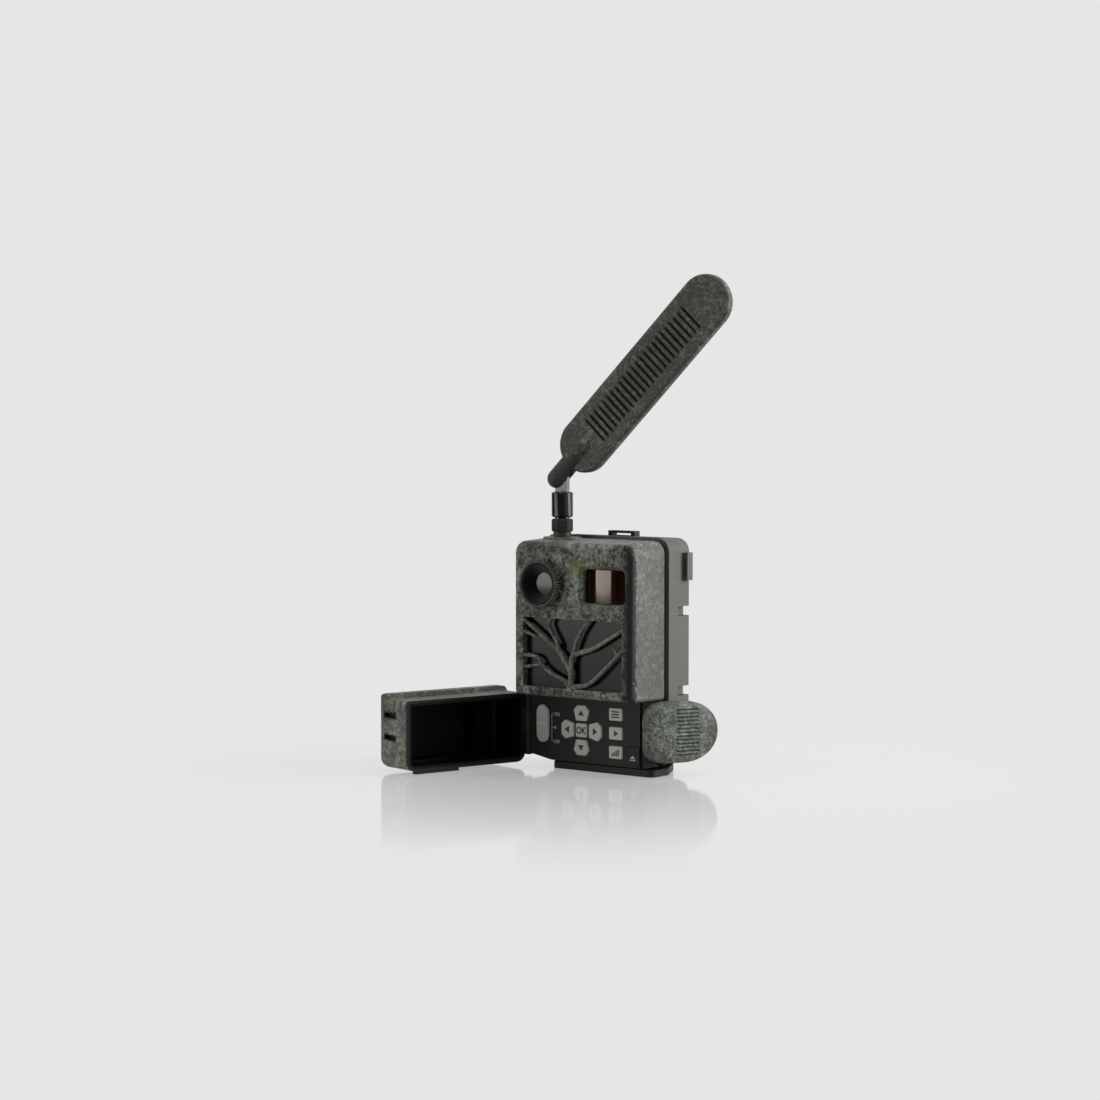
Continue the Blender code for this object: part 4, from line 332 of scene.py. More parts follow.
def glassPaint(name, slot, colour, rough, gloss, tint=(1, 1, 1)):
    # polished face: dust film and a slight sweep of tone
    look = {"film": (0.0030, 4, 0.6), "filmRough": 0.05, "speck": (0.0005, 1, 0.5),
            "speckFrom": (0.70, 0.78), "speckRough": 0.10, "dull": 0.8}
    paint = Paint(name, slot, {"Specular IOR Level": gloss, "Specular Tint": tint + (1,)})
    film = paint.noise(*look["film"])
    speck = paint.step(paint.noise(*look["speck"]), *look["speckFrom"])
    rough = rough + look["filmRough"] * film + look["speckRough"] * speck
    return paint.wear(colour=paint.blend(film, scaled(colour, look["dull"]), colour), rough=rough)


def sensorPaint():
    # dark red-brown lens: faint upright grooves and a warmer tone where the wall is thin
    look = {"deep": (0.0035, 0.0016, 0.0012), "warm": (0.034, 0.0100, 0.0050), "gloss": 0.36,
            "tint": (1, 0.93, 0.86, 1), "groove": (0.0006, 1, 0.5), "grooveLong": (1, 1, 0.001),
            "warmth": (0.008, 2, 0.5), "warmShift": (0.0031, 0, 0), "warmLong": (1, 1, 0.05),
            "warmFrom": (0.44, 0.62), "shares": (0.75, 0.20), "rough": 0.045, "grooveRough": 0.03}
    paint = Paint("sensor_red", "sensor_lens",
                  {"Specular IOR Level": look["gloss"], "Specular Tint": look["tint"]})
    stripe = paint.noise(*look["groove"], paint.moved((0, 0, 0), look["grooveLong"]))
    warmth = paint.noise(*look["warmth"], paint.moved(look["warmShift"], look["warmLong"]))
    share = mixed(look["shares"], paint.step(warmth, *look["warmFrom"]), stripe)
    return paint.wear(colour=paint.blend(share, look["deep"], look["warm"]),
                      rough=look["rough"] + look["grooveRough"] * stripe)


def boardPaint():
    # circuit board: green mask over a web of copper tracks
    look = {"track": (0.030, 0.150, 0.060), "mask": (0.010, 0.060, 0.026), "webScale": 260.0,
            "trackFrom": (0.20, 0.26), "depth": 0.00004, "rough": 0.35, "maskRough": 0.15}
    paint = Paint("board_green", "board")
    cells = paint.node("ShaderNodeTexVoronoi", {"distance": "CHEBYCHEV", "feature": "F1"},
                       {"Vector": paint.place, "Scale": look["webScale"]})
    mask = paint.step(cells, *look["trackFrom"])
    paint.relief(mask, look["depth"])
    return paint.wear(colour=paint.blend(mask, look["track"], look["mask"]),
                      rough=look["rough"] + look["maskRough"] * mask)


def cellPaint():
    # battery jacket: plain wrap with a pale band at the plus end, bare metal on the ends
    look = {"wrap": (0.055, 0.075, 0.105), "band": (0.36, 0.37, 0.37), "metal": (0.62, 0.61, 0.58),
            "scuffed": (0.12, 0.12, 0.12), "bandFrom": (0.735, 0.745), "plusFrom": (0.962, 0.966),
            "minusFrom": (0.975, 0.979), "scuffs": (0.003, 4, 0.65), "scuffFrom": (0.55, 0.70),
            "scuff": 0.3, "coat": 0.3, "metallic": 0.9, "rough": 0.34, "scuffRough": 0.15}
    paint = Paint("cell_wrap", "cell_jacket", {"Coat Weight": look["coat"]})
    length = paint.tag("along")
    scuff = paint.noise(*look["scuffs"])
    bare = paint.step(length, *look["plusFrom"]) + paint.step(1 - length, *look["minusFrom"])
    colour = paint.blend(paint.step(length, *look["bandFrom"]), look["wrap"], look["band"])
    worn = look["scuff"] * paint.step(scuff, *look["scuffFrom"])
    colour = paint.blend(bare, paint.blend(worn, colour, look["scuffed"]), look["metal"])
    return paint.wear(colour=colour, metal=bare * look["metallic"],
                      rough=look["rough"] + look["scuffRough"] * scuff)


def grey(tone):
    # a colour with no hue
    return (tone,) * 3


paints = {
    "cover": camoPaint("camo_cover", (0.40, 0.10, 0.22), coverMarks),
    "door": camoPaint("camo_door", (1.30, 0.70, 0.40), doorMarks),
    "lever": camoPaint("camo_lever", (2.10, 0.20, 0.90)),
    "branch": camoPaint("camo_branch", (0.40, 0.10, 0.22), look=litBranchLook),
    "blade": camoPaint("camo_blade", (3.60, 1.20, 0.30), look=bladeLook),
    "stem": camoPaint("camo_stem", (3.60, 1.20, 0.30), stemMarks),
    "shell": plasticPaint("shell_grey", "shell_plastic", (0.118, 0.113, 0.105), 0.52, spread=0.12,
                          gloss=0.28, marks=shellMarks),
    "black": plasticPaint("black_satin", "black_plastic", grey(0.006), 0.42, gloss=0.3),
    "hood": plasticPaint("hood_black", "black_plastic", grey(0.005), 0.42, gloss=0.14),
    "liner": plasticPaint("liner_black", "black_plastic", grey(0.0035), 0.36, gloss=0.06),
    "foot": plasticPaint("foot_black", "black_plastic", (0.009, 0.009, 0.008), 0.50, gloss=0.22),
    "mast": plasticPaint("mast_gloss", "black_plastic", grey(0.006), 0.22, grain=0.000006, gloss=0.3),
    "panel": plasticPaint("panel_grey", "panel_plastic", (0.0125, 0.0125, 0.0130), 0.52, 0.0005,
                          0.00004, gloss=0.22),
    "key": plasticPaint("key_grey", "key_plastic", (0.56, 0.56, 0.50), 0.55, 0.0005, 0.00003, 0.06),
    "ridge": plasticPaint("ridge_pale", "key_plastic", (0.78, 0.78, 0.72), 0.50, 0.0005, 0.00002, 0.04),
    "rubber": plasticPaint("seal_black", "seal_rubber", grey(0.006), 0.75, 0.0006, 0.00004, gloss=0.2),
    "steel": metalPaint("bright_steel", "steel", (0.62, 0.62, 0.60), 0.30),
    "tongue": metalPaint("grey_steel", "steel", (0.22, 0.22, 0.21), 0.48),
    "nut": metalPaint("black_nut", "dark_metal", (0.030, 0.030, 0.029), 0.45, metal=0.4),
    "brass": metalPaint("brass_bush", "brass", (0.62, 0.44, 0.17), 0.30, (1, 0.03, 1)),
    "glass": glassPaint("lens_glass_face", "lens_glass", (0.030, 0.030, 0.031), 0.06, 0.22),
    "pane": glassPaint("lamp_pane_dark", "lamp_pane", grey(0.007), 0.20, 0.20, (0.92, 0.97, 1.0)),
    "sensor": sensorPaint(),
    "light": glassPaint("light_pipe_milky", "light_pipe", grey(0.20), 0.45, 0.2),
    "board": boardPaint(),
    "cell": cellPaint(),
    "darkInk": plasticPaint("dark_print", "panel_plastic", (0.030, 0.030, 0.028), 0.60, grain=0.00001),
    "paleInk": plasticPaint("pale_print", "key_plastic", (0.40, 0.38, 0.47), 0.60, grain=0.00001),
}
print("finishes made:", len(paints))


# Meshes

def newMesh(name, points, faces):
    # a mesh of points and faces
    data = bpy.data.meshes.new(name)
    data.from_pydata(points.tolist(), [], faces.tolist())
    return data


def inScene(name, data):
    # an object of that data, linked to the scene
    made = bpy.data.objects.new(name, data)
    bpy.context.scene.collection.objects.link(made)
    return made


def weave(points, wrapRows=False, wrapColumns=False):
    # one quad for each cell of a grid of points; a wrapped side joins its last line to its first
    rows, columns = points.shape[:2]
    index = np.arange(rows * columns).reshape(rows, columns)
    if wrapRows:
        index = np.vstack([index, index[:1]])
    if wrapColumns:
        index = np.hstack([index, index[:, :1]])
    quads = np.stack([index[:-1, :-1], index[1:, :-1], index[1:, 1:], index[:-1, 1:]], -1)
    return points.reshape(-1, 3), quads.reshape(-1, 4)


def joined(*meshes):
    # several (points, faces) as one
    points, faces, start = [], [], 0
    for somePoints, someFaces in meshes:
        points.append(somePoints)
        faces.append(someFaces + start)
        start += len(somePoints)
    return np.concatenate(points), np.concatenate(faces)


def placed(mesh, matrix):
    # points turned and then shifted by a matrix
    points, faces = mesh
    return points @ np.array(matrix.to_3x3()).T + np.array(matrix.translation), faces


def piece(name, mesh, paint, body, hides=(), sharp=40, tags=None):
    # a finished piece: doubled points merged, normals outwards, smooth up to a fold of sharp degrees
    data = newMesh(name, *mesh)
    for tag, values in (tags or {}).items():
        layer = data.attributes.new(tag, "FLOAT", "POINT")
        layer.data.foreach_set("value", np.asarray(values, np.float32).ravel())
    shape = bmesh.new()
    shape.from_mesh(data)
    bmesh.ops.remove_doubles(shape, verts=shape.verts, dist=1e-6)
    bmesh.ops.dissolve_degenerate(shape, edges=shape.edges, dist=1e-7)
    bmesh.ops.recalc_face_normals(shape, faces=shape.faces)
    shape.to_mesh(data)
    shape.free()
    data.polygons.foreach_set("use_smooth", np.ones(len(data.polygons), bool))
    data.set_sharp_from_angle(angle=math.radians(sharp))
    made = inScene(name, data)
    data.materials.append(paint.material)
    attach(made, body)
    if hides:
        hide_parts(*hides)
    return made


def meshArrays(data):
    # a mesh's triangles with their shared points merged
    points = np.empty(len(data.vertices) * 3, np.float32)
    data.vertices.foreach_get("co", points)
    data.calc_loop_triangles()
    faces = np.empty(len(data.loop_triangles) * 3, np.int32)
    data.loop_triangles.foreach_get("vertices", faces)
    points = points.reshape(-1, 3).astype(float).round(7)
    merged, index = np.unique(points, axis=0, return_inverse=True)
    return merged, index.reshape(-1)[faces.reshape(-1, 3)]


def skin(node, paint, sharp=34, tags=None, shift=(0, 0, 0)):
    # the node's own form with even shading: wide flat faces keep their normals, folds stay crisp
    points, faces = meshArrays(nodes[node].data)
    made = piece(node + "_skin", (points + shift, faces), paint, bodyOf[node], (node,), sharp,
                 tags and tags(points))
    even = made.modifiers.new("even", "WEIGHTED_NORMAL")
    even.keep_sharp = True


def roundedOutline(width, height, radius, steps=8):
    # quarter circles at four corners, with straight sides between them
    angle = np.linspace(0, np.pi / 2, steps + 1)[None, :] + (np.arange(4) * np.pi / 2)[:, None]
    side = np.array([(1, 1), (-1, 1), (-1, -1), (1, -1)])
    centre = side * (np.array((width, height)) / 2 - radius)
    return (centre[:, None, :] + radius * np.stack([np.cos(angle), np.sin(angle)], -1)).reshape(-1, 2)


def prism(outline, low, high, edge=0.0, axes=(0, 2, 1)):
    # an outline carried from low to high, its ends drawn in by edge and closed on their middle;
    # axes are those of the outline's two directions and of the way it is carried
    outline = np.asarray(outline, float)
    middle = outline.mean(0)
    inner = 1 - edge / np.abs(outline - middle).max()
    scales = np.array([0, inner, 1, 1, inner, 0])
    levels = np.array([low, low, low + edge, high - edge, high, high])
    flat = middle + scales[:, None, None] * (outline - middle)
    grid = np.empty(flat.shape[:2] + (3,))
    grid[..., axes[0]], grid[..., axes[1]] = flat[..., 0], flat[..., 1]
    grid[..., axes[2]] = levels[:, None]
    return weave(grid, wrapColumns=True)


def ring(sides):
    # even angles once round
    return np.linspace(0, 2 * np.pi, sides, endpoint=False)[None, :]


def turned(radius, angle, height):
    # points at a radius and an angle round +Z, at a height
    x, y = radius * np.cos(angle), radius * np.sin(angle)
    return np.stack([x, y, height + 0 * x], -1)


def lathe(profile, sides, closed=False):
    # (radius, height) pairs turned about +Z; a closed profile makes a ring, an open one ends on +Z
    radius, height = np.array(profile, float).T[:, :, None]
    return weave(turned(radius, ring(sides), height), closed, True)


def smooth(share):
    # 3 s^2 - 2 s^3, from 0 to 1
    share = np.clip(share, 0, 1)
    return share * share * (3 - 2 * share)


towardFront = Matrix.Rotation(math.pi / 2, 4, "X")
towardBack = Matrix.Rotation(-math.pi / 2, 4, "X")


def centreOf(node):
    # the middle of the node's box
    low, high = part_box(node)
    return (low + high) / 2


# Casing: nodes that keep their own form

skins = {
    "front_cover": "cover", "rear_shell": "shell", "seam_gasket": "rubber", "door_shell": "door",
    "door_liner": "liner", "control_panel": "panel", "battery_tray": "foot",
    "antenna_mast": "mast", "antenna_tongue": "tongue", "antenna_pin": "nut", "antenna_socket": "nut",
    "ir_window": "pane", "status_light": "light", "switch_cap": "key", "eject_button": "panel",
    "lens_barrel": "black", "latch_link": "steel", "latch_post_pin": "steel",
    "latch_lever_pin": "steel", "door_hinge_pin": "steel", "pir_sensor": "steel",
    "front_board": "board", "main_board": "board", "key_board": "board", "contact_board": "board",
}
for node, paintName in skins.items():
    skin(node, paints[paintName])
# the door's seal lies a hair back, so that it clears the eject button when the door is shut
sealGap = 0.00005
doorTurn = math.radians(joints["door_hinge"]["range_deg"][1])
sealBack = sealGap * np.array((-math.sin(doorTurn), -math.cos(doorTurn), 0))
skin("door_gasket", paints["rubber"], shift=sealBack)
keyNodes = ["key_" + word for word in ("up", "down", "left", "right", "ok", "menu", "play", "test")]
for node in keyNodes:
    skin(node, paints["key"])
print("casing skinned:", len(skins) + 1 + len(keyNodes), "nodes")


def hingeSleeve():
    # a ring round the panel's hinge knuckle, close under the door's relief
    size = {"inner": 0.0015, "outer": 0.00262, "low": 0.01985, "high": 0.03115, "edge": 0.0001,
            "sides": 40}
    pin = joints["door_hinge"]["pos_m"]
    inner, outer, low, high, edge, sides = size.values()
    profile = [(inner, low), (outer - edge, low), (outer, low + edge), (outer, high - edge),
               (outer - edge, high), (inner, high)]
    mesh = placed(lathe(profile, sides, True), Matrix.Translation((pin[0], pin[1], 0)))
    piece("hinge_sleeve", mesh, paints["panel"], "body")


hingeSleeve()


# Lens

lensSize = {"collarRadius": 0.0131, "collarLength": 0.0045, "hoodOut": 0.0115, "mouth": 0.0110,
            "mouthWide": 0.0003, "mouthEdge": 0.0001, "throat": 0.0063, "wall": 0.0009,
            "seat": 0.0003, "front": 0.0042, "lip": -0.0012, "back": -0.0065, "baffles": 11,
            "glass": 0.0067, "glassFace": -0.0018, "crown": 0.00005, "glassThick": 0.0012,
            "glassRings": 14, "sides": 72, "teeth": 54, "toothSteps": 6, "toothDepth": 0.00070,
            "toothSquare": 1.4, "knurlWidth": 0.0026, "knurlBack": 0.0006, "knurlBevel": 0.0004,
            "knurlRise": 0.0002, "knurlSink": 0.0010}
frontY = -0.0260
lensMiddle = centreOf("lens_glass")
lensPlace = Matrix.Translation((lensMiddle.x, frontY, lensMiddle.z)) @ towardFront


def lensHood():
    # a stepped cone: each baffle is a short tread along the axis and a riser across it
    size = lensSize
    share = np.linspace(0, 1, size["baffles"] + 1)
    radius = size["throat"] + (size["mouth"] - size["throat"]) * share
    height = size["lip"] + (size["front"] - size["lip"]) * share
    inside = np.stack([np.repeat(radius, 2)[:-1], np.repeat(height, 2)[1:]], -1)
    outside, seat = size["throat"] + size["wall"], size["glassFace"] + size["seat"]
    rest = [(size["mouth"] + size["mouthWide"], size["front"] + size["mouthEdge"]),
            (size["hoodOut"], size["front"] - size["mouthEdge"]), (size["hoodOut"], size["back"]),
            (outside, size["back"]), (outside, seat), (size["throat"], seat)]
    mesh = placed(lathe(np.concatenate([inside, rest]), size["sides"], True), lensPlace)
    piece("lens_hood_baffles", mesh, paints["hood"], "body", ("lens_hood",), sharp=30)


def lensGlass():
    # a shallow dome, y = crown * (1 - r^2), with a plain edge and back
    size = lensSize
    share = np.linspace(0, 1, size["glassRings"])
    dome = np.stack([size["glass"] * share, size["glassFace"] + size["crown"] * (1 - share ** 2)], -1)
    back = size["glassFace"] - size["glassThick"]
    profile = np.concatenate([dome, [(size["glass"], back), (0, back)]])
    mesh = placed(lathe(profile, size["sides"]), lensPlace)
    piece("lens_glass_dome", mesh, paints["glass"], "body", ("lens_glass",))


def lensKnurl():
    # a band on the collar whose radius rises and falls once for each tooth, in the branches' paler
    # painted-light camouflage, with painted shade in the valleys between the teeth
    size = lensSize
    angle = ring(size["toothSteps"] * size["teeth"])
    wave = np.clip(size["toothSquare"] * np.cos(size["teeth"] * angle), -1, 1)
    top = size["collarLength"] - size["knurlBack"]
    low, bevel = top - size["knurlWidth"], size["knurlBevel"]
    height = np.array([low, low + bevel, top - bevel, top, top, low])[:, None]
    share = np.array([0.0, 1.0, 1.0, 0.0])[:, None]
    outer = (size["collarRadius"] + size["knurlRise"]
             + share * size["toothDepth"] * (0.5 + 0.5 * wave))
    inner = np.full((2, angle.size), size["collarRadius"] - size["knurlSink"])
    grid = turned(np.concatenate([outer, inner]), angle, height)
    # painted shade in the valleys between the teeth
    cavityShade = np.concatenate([0.5 - 0.5 * wave + 0 * share, 0 * inner])
    piece("lens_collar_knurl", placed(weave(grid, True, True), lensPlace), paints["branch"], "body",
          sharp=30, tags={"cavityShade": cavityShade})


lensHood()
lensGlass()
lensKnurl()
print("lens built")


# Motion-sensor lens

sensorSize = {"width": 0.0284, "height": 0.0186, "corner": 0.0028, "bulge": 0.0030,
              "edge": -0.0218, "back": -0.0205, "rimWidth": 0.0330, "rimHeight": 0.0232,
              "rimFront": -0.0211, "rimBack": -0.0199, "rimEdge": 0.0002, "columns": 241, "rows": 9,
              "groovePitch": 0.00071, "grooveDepth": 0.000003}


def sensorLens():
    # y = edge - bulge * (1 - (2x / width)^2), plus a fine saw of upright grooves, in a rounded outline
    size = sensorSize
    half, corner = size["width"] / 2, size["corner"]
    x = half * np.sin(np.linspace(-np.pi / 2, np.pi / 2, size["columns"]))[:, None]
    over = np.clip(np.abs(x) - (half - corner), 0, corner)
    reach = size["height"] / 2 - corner + np.sqrt(corner ** 2 - over ** 2)
    t = np.linspace(-1, 1, size["rows"])[None, :]
    saw = np.abs((x / size["groovePitch"]) % 1 - 0.5) * 2
    face = size["edge"] - size["bulge"] * (1 - (x / half) ** 2) + size["grooveDepth"] * saw
    front = np.stack([x + 0 * t, face + 0 * t, reach * t], -1)
    back = front[:, [-1, 0]].copy()
    back[..., 1] = size["back"]
    mesh = weave(np.concatenate([front, back], 1), False, True)
    rim = roundedOutline(size["rimWidth"], size["rimHeight"], corner)
    rim = prism(rim, size["rimFront"], size["rimBack"], size["rimEdge"])
    centre = centreOf("pir_lens")
    mesh = placed(joined(mesh, rim), Matrix.Translation((centre.x, 0, centre.z)))
    piece("sensor_lens_grooved", mesh, paints["sensor"], "body", ("pir_lens",), sharp=50)


sensorLens()
print("motion sensor built")


# Branch grille

branchSize = {"halfWidth": 0.0348, "halfHeight": 0.0196, "windowZ": 0.0675, "radius": 0.00135,
              "proud": 1.04, "bark": 0.06, "steps": 14, "sides": 20,
              # each wave of the bark: height, radians per mm, waves round, shift per branch
              "waves": ((1.0, 1.9, 2, 1), (1.0, 3.1, -3, 0), (0.7, 5.3, 5, 0)), "waveSum": 2.7}
# each branch lists (across, up, thickness) in units of the window's half sizes and the branch radius
branches = [
    [(-0.05, -1.08, 2.1), (-0.04, -0.78, 1.3), (-0.03, -0.35, 1.05), (0.01, -0.04, 1.0),
     (0.37, 0.17, 0.9), (0.69, 0.47, 0.8), (1.05, 0.83, 0.75)],
    [(0.00, -0.12, 0.9), (0.04, 0.20, 0.9), (0.17, 0.66, 0.85), (0.37, 1.09, 0.85)],
    [(-0.03, -0.55, 0.9), (-0.19, -0.15, 0.95), (-0.32, 0.12, 0.9), (-0.64, 0.50, 0.85),
     (-1.04, 0.98, 0.8)],
    [(-0.30, 0.08, 0.8), (-0.31, 0.27, 0.85), (-0.45, 0.66, 0.8), (-0.48, 0.87, 0.8),
     (-0.38, 1.09, 0.8)],
    [(-1.06, 0.62, 0.9), (-0.90, 0.53, 0.7), (-0.74, 0.43, 0.35)],
    [(-0.05, -0.97, 1.2), (-0.17, -0.78, 1.0), (-0.38, -0.63, 0.85), (-0.54, -0.48, 0.8),
     (-0.64, -0.33, 0.75), (-0.75, -0.13, 0.7), (-1.06, -0.11, 0.75)],
    [(-0.63, -0.35, 0.65), (-0.84, -0.41, 0.65), (-1.06, -0.48, 0.75)],
    [(-0.03, -0.96, 1.2), (0.27, -0.85, 1.0), (0.42, -0.70, 0.85), (0.67, -0.31, 0.75),
     (0.83, -0.06, 0.7), (1.05, 0.34, 0.8)],
    [(0.86, 0.00, 0.6), (0.86, 0.12, 0.5), (0.80, 0.24, 0.35)],
]


def splineThrough(knots, steps):
    # a curve through its knots: each span is a cubic, and the slope at a knot is half the step
    # between its neighbours
    knots = np.array(knots, float)
    before = np.vstack([2 * knots[0] - knots[1], knots, 2 * knots[-1] - knots[-2]])
    t = np.linspace(0, 1, steps, endpoint=False)[None, :, None]
    p0, p1, p2, p3 = (before[i:len(before) - 3 + i][:, None, :] for i in range(4))
    spans = 0.5 * (2 * p1 + (p2 - p0) * t + (2 * p0 - 5 * p1 + 4 * p2 - p3) * t ** 2
                   + (3 * p1 - p0 - 3 * p2 + p3) * t ** 3)
    return np.vstack([spans.reshape(-1, knots.shape[1]), knots[-1:]])


def branchSleeve(number, knots):
    # a round section carried along the branch, its radius roughened by a sum of waves,
    # and closed at both ends
    size = branchSize
    line = splineThrough(knots, size["steps"])
    x, z = line[:, 0] * size["halfWidth"], size["windowZ"] + line[:, 1] * size["halfHeight"]
    centre = np.stack([x, np.full_like(x, frontY + size["radius"]), z], -1)[:, None, :]
    slope = np.gradient(np.stack([x, z], -1), axis=0)
    slope /= np.linalg.norm(slope, axis=1, keepdims=True)
    aside = np.stack([-slope[:, 1], np.zeros(len(x)), slope[:, 0]], -1)[:, None, :]
    ahead = np.array((0.0, -1.0, 0.0))
    angle = ring(size["sides"])
    run = np.concatenate([[0], np.cumsum(np.hypot(np.diff(x), np.diff(z)))])[:, None] * 1000
    bark = sum(high * np.sin(rate * run + turns * angle + shift * number)
               for high, rate, turns, shift in size["waves"])
    radius = line[:, 2:3] * size["radius"] * (size["proud"] + size["bark"] * bark / size["waveSum"])
    radius[[0, -1]] = 0
    grid = centre + radius[..., None] * (np.cos(angle)[..., None] * aside
                                         + np.sin(angle)[..., None] * ahead)
    return weave(grid, False, True)


for number, knots in enumerate(branches, 1):
    piece(f"grille_branch_{number}", branchSleeve(number, knots), paints["branch"], "body", sharp=60)
print("grille built:", len(branches), "branches")


# Latch lever

leverSize = {"length": 0.0452, "frontHalf": 0.0235, "height": 0.0344, "z": 0.0249, "rim": 0.0045,
             "top": 0.0086, "wall": 0.0015, "frontPower": 4.5, "nosePower": 2.1, "domePower": 2.6,
             "pinUp": 0.0026, "wallLevels": (0.0025, 0.0004, 0.0), "wallShares": (1.0, 1.0, 0.994),
             "ribs": 13, "ribPitch": 0.0021, "ribFrom": -0.0071, "ribTo": 0.0087, "ribEnd": 0.002,
             "ribDepth": 0.0008, "ribShare": 0.33, "ribShade": 0.55, "ribSpread": 1.3,
             "noseFrom": 0.42, "noseTo": 0.90, "noseShade": 0.62, "clawHeights": (0.0200, 0.0325),
             "clawFrom": -0.0149, "clawLength": 0.0100, "clawHalf": 0.0009, "clawReach": 0.0022,
             "clawBevel": (0.0016, 0.0020), "clawCorner": 0.0006, "edge": 0.0002, "eye": 0.0018,
             "eyeSteps": 13, "sides": 256, "rows": 96, "innerEvery": 4,
             "lugLevels": ((0.0218, 0.0238), (0.0288, 0.0308))}
leverPin = joints["latch_lever_hinge"]["pos_m"]
linkRange, leverRange = (joints[f"latch_{word}_hinge"]["range_deg"] for word in ("link", "lever"))
leverTurn = math.radians(linkRange[1] - leverRange[1])


def leverShell():
    # shares s of a superellipse, square in front and pointed at the nose, raised by
    # (top - rim) * sqrt(1 - s^domePower); the ribs' grooves and the nose also get painted shade
    size = leverSize
    angle = ring(size["sides"])
    c, s = np.cos(angle), np.sin(angle)
    power = np.where(c > 0, size["nosePower"], size["frontPower"])
    noseLength = size["length"] - size["frontHalf"]

    def rings(share, shrink, height):
        # shares of the outline, which is drawn in by shrink, at a height
        reach = np.where(c > 0, noseLength, size["frontHalf"]) - shrink
        half = size["height"] / 2 - shrink
        radius = (np.abs(c / reach) ** power + np.abs(s / half) ** power) ** (-1 / power)
        y, up = share * radius * c, share * radius * s
        return np.stack([height + 0 * y - size["pinUp"], y, size["z"] + up], -1)

    def dome(share, shrink, rim, top):
        # the same, raised from the rim to the top
        fall = np.sqrt(np.clip(1 - share ** size["domePower"], 0, 1))
        return rings(share, shrink, rim + (top - rim) * fall)

    share = np.sin(np.linspace(0, np.pi / 2, size["rows"]))[:, None]
    outer = dome(share, 0.0, size["rim"], size["top"])
    y, up = outer[..., 1], outer[..., 2] - size["z"]
    row = np.round(up / size["ribPitch"])
    inRow = 1 - np.abs(up - row * size["ribPitch"]) / (size["ribShare"] * size["ribPitch"])
    ends = smooth((y - size["ribFrom"]) / size["ribEnd"]) * smooth((size["ribTo"] - y) / size["ribEnd"])
    groove = smooth(inRow) * ends * (np.abs(row) <= size["ribs"] // 2)
    outer[..., 0] -= size["ribDepth"] * groove
    wallShares, wallLevels = (np.array(size[key])[:, None] for key in ("wallShares", "wallLevels"))
    wall = rings(wallShares, 0.0, wallLevels)
    lip = rings(np.array([[1.0]]), size["wall"], 0.0)
    inner = dome(share[::-size["innerEvery"]], size["wall"], size["rim"] - size["wall"] / 2,
                 size["top"] - size["wall"])
    grid = np.concatenate([outer, wall, lip, inner])
    # painted shade on the nose, which turns away from the lamps, and in the rib grooves
    nose = grid[..., 1] / noseLength
    cavityShade = size["noseShade"] * smooth((nose - size["noseFrom"]) / (size["noseTo"] - size["noseFrom"]))
    ribbed = size["ribShade"] * smooth(size["ribSpread"] * groove)
    cavityShade[:len(outer)] = np.maximum(cavityShade[:len(outer)], ribbed)
    return weave(grid, False, True), cavityShade


def leverInside():
    # outlines carried upwards: hooks that enter the door's end, and two lugs that hold the pin
    size = leverSize
    start, end = size["clawFrom"], size["clawFrom"] + size["clawLength"]
    reach, roof = -size["pinUp"] - size["clawReach"], size["top"] - size["pinUp"] - size["wall"]
    (bevelUp, bevelBack), corner = size["clawBevel"], size["clawCorner"]
    hook = [(roof, start), (roof, end), (reach + bevelUp, end), (reach, end - bevelBack),
            (reach, start + corner), (reach + corner, start)]
    arc = np.linspace(np.pi / 2, 3 * np.pi / 2, size["eyeSteps"])
    lug = np.concatenate([size["eye"] * np.stack([np.cos(arc), np.sin(arc)], -1),
                          [(roof, -size["eye"]), (roof, size["eye"])]])
    half = size["clawHalf"]
    parts = [(hook, z - half, z + half) for z in size["clawHeights"]]
    parts += [(lug, low, high) for low, high in size["lugLevels"]]
    return joined(*(prism(*part, size["edge"], (0, 1, 2)) for part in parts))


leverPlace = Matrix.Translation((leverPin[0], leverPin[1], 0)) @ Matrix.Rotation(leverTurn, 4, "Z")
leverMesh, leverShade = leverShell()
piece("latch_lever_ribbed", placed(leverMesh, leverPlace), paints["lever"], "latch_lever",
      ("latch_lever",), sharp=60, tags={"cavityShade": leverShade})
piece("latch_lever_hooks", placed(leverInside(), leverPlace), paints["lever"], "latch_lever")
print("latch lever built")


# Antenna

bladeSize = {"lift": 0.0217, "length": 0.1409, "width": 0.0312, "thick": 0.0031, "edge": 0.0022,
             "edgeFrom": 0.0013, "grooves": 24, "groovePitch": 0.00377, "grooveStart": 0.0116,
             "grooveWidth": 0.0017, "grooveHalf": 0.0095, "grooveEnd": 0.0030,
             "grooveDepth": 0.0015, "grooveSquare": 1.7, "parting": 0.00015, "capRows": 40,
             "rows": 620, "columns": 49}
tiltJoint = joints["antenna_tilt"]
bladeYaw = math.atan2(-tiltJoint["axis"][0], tiltJoint["axis"][1])
bladeTilt = -math.radians(tiltJoint["range_deg"][0])
bladePlace = (Matrix.Translation(tiltJoint["pos_m"]) @ Matrix.Rotation(bladeYaw, 4, "Z")
              @ Matrix.Rotation(bladeTilt, 4, "Y"))


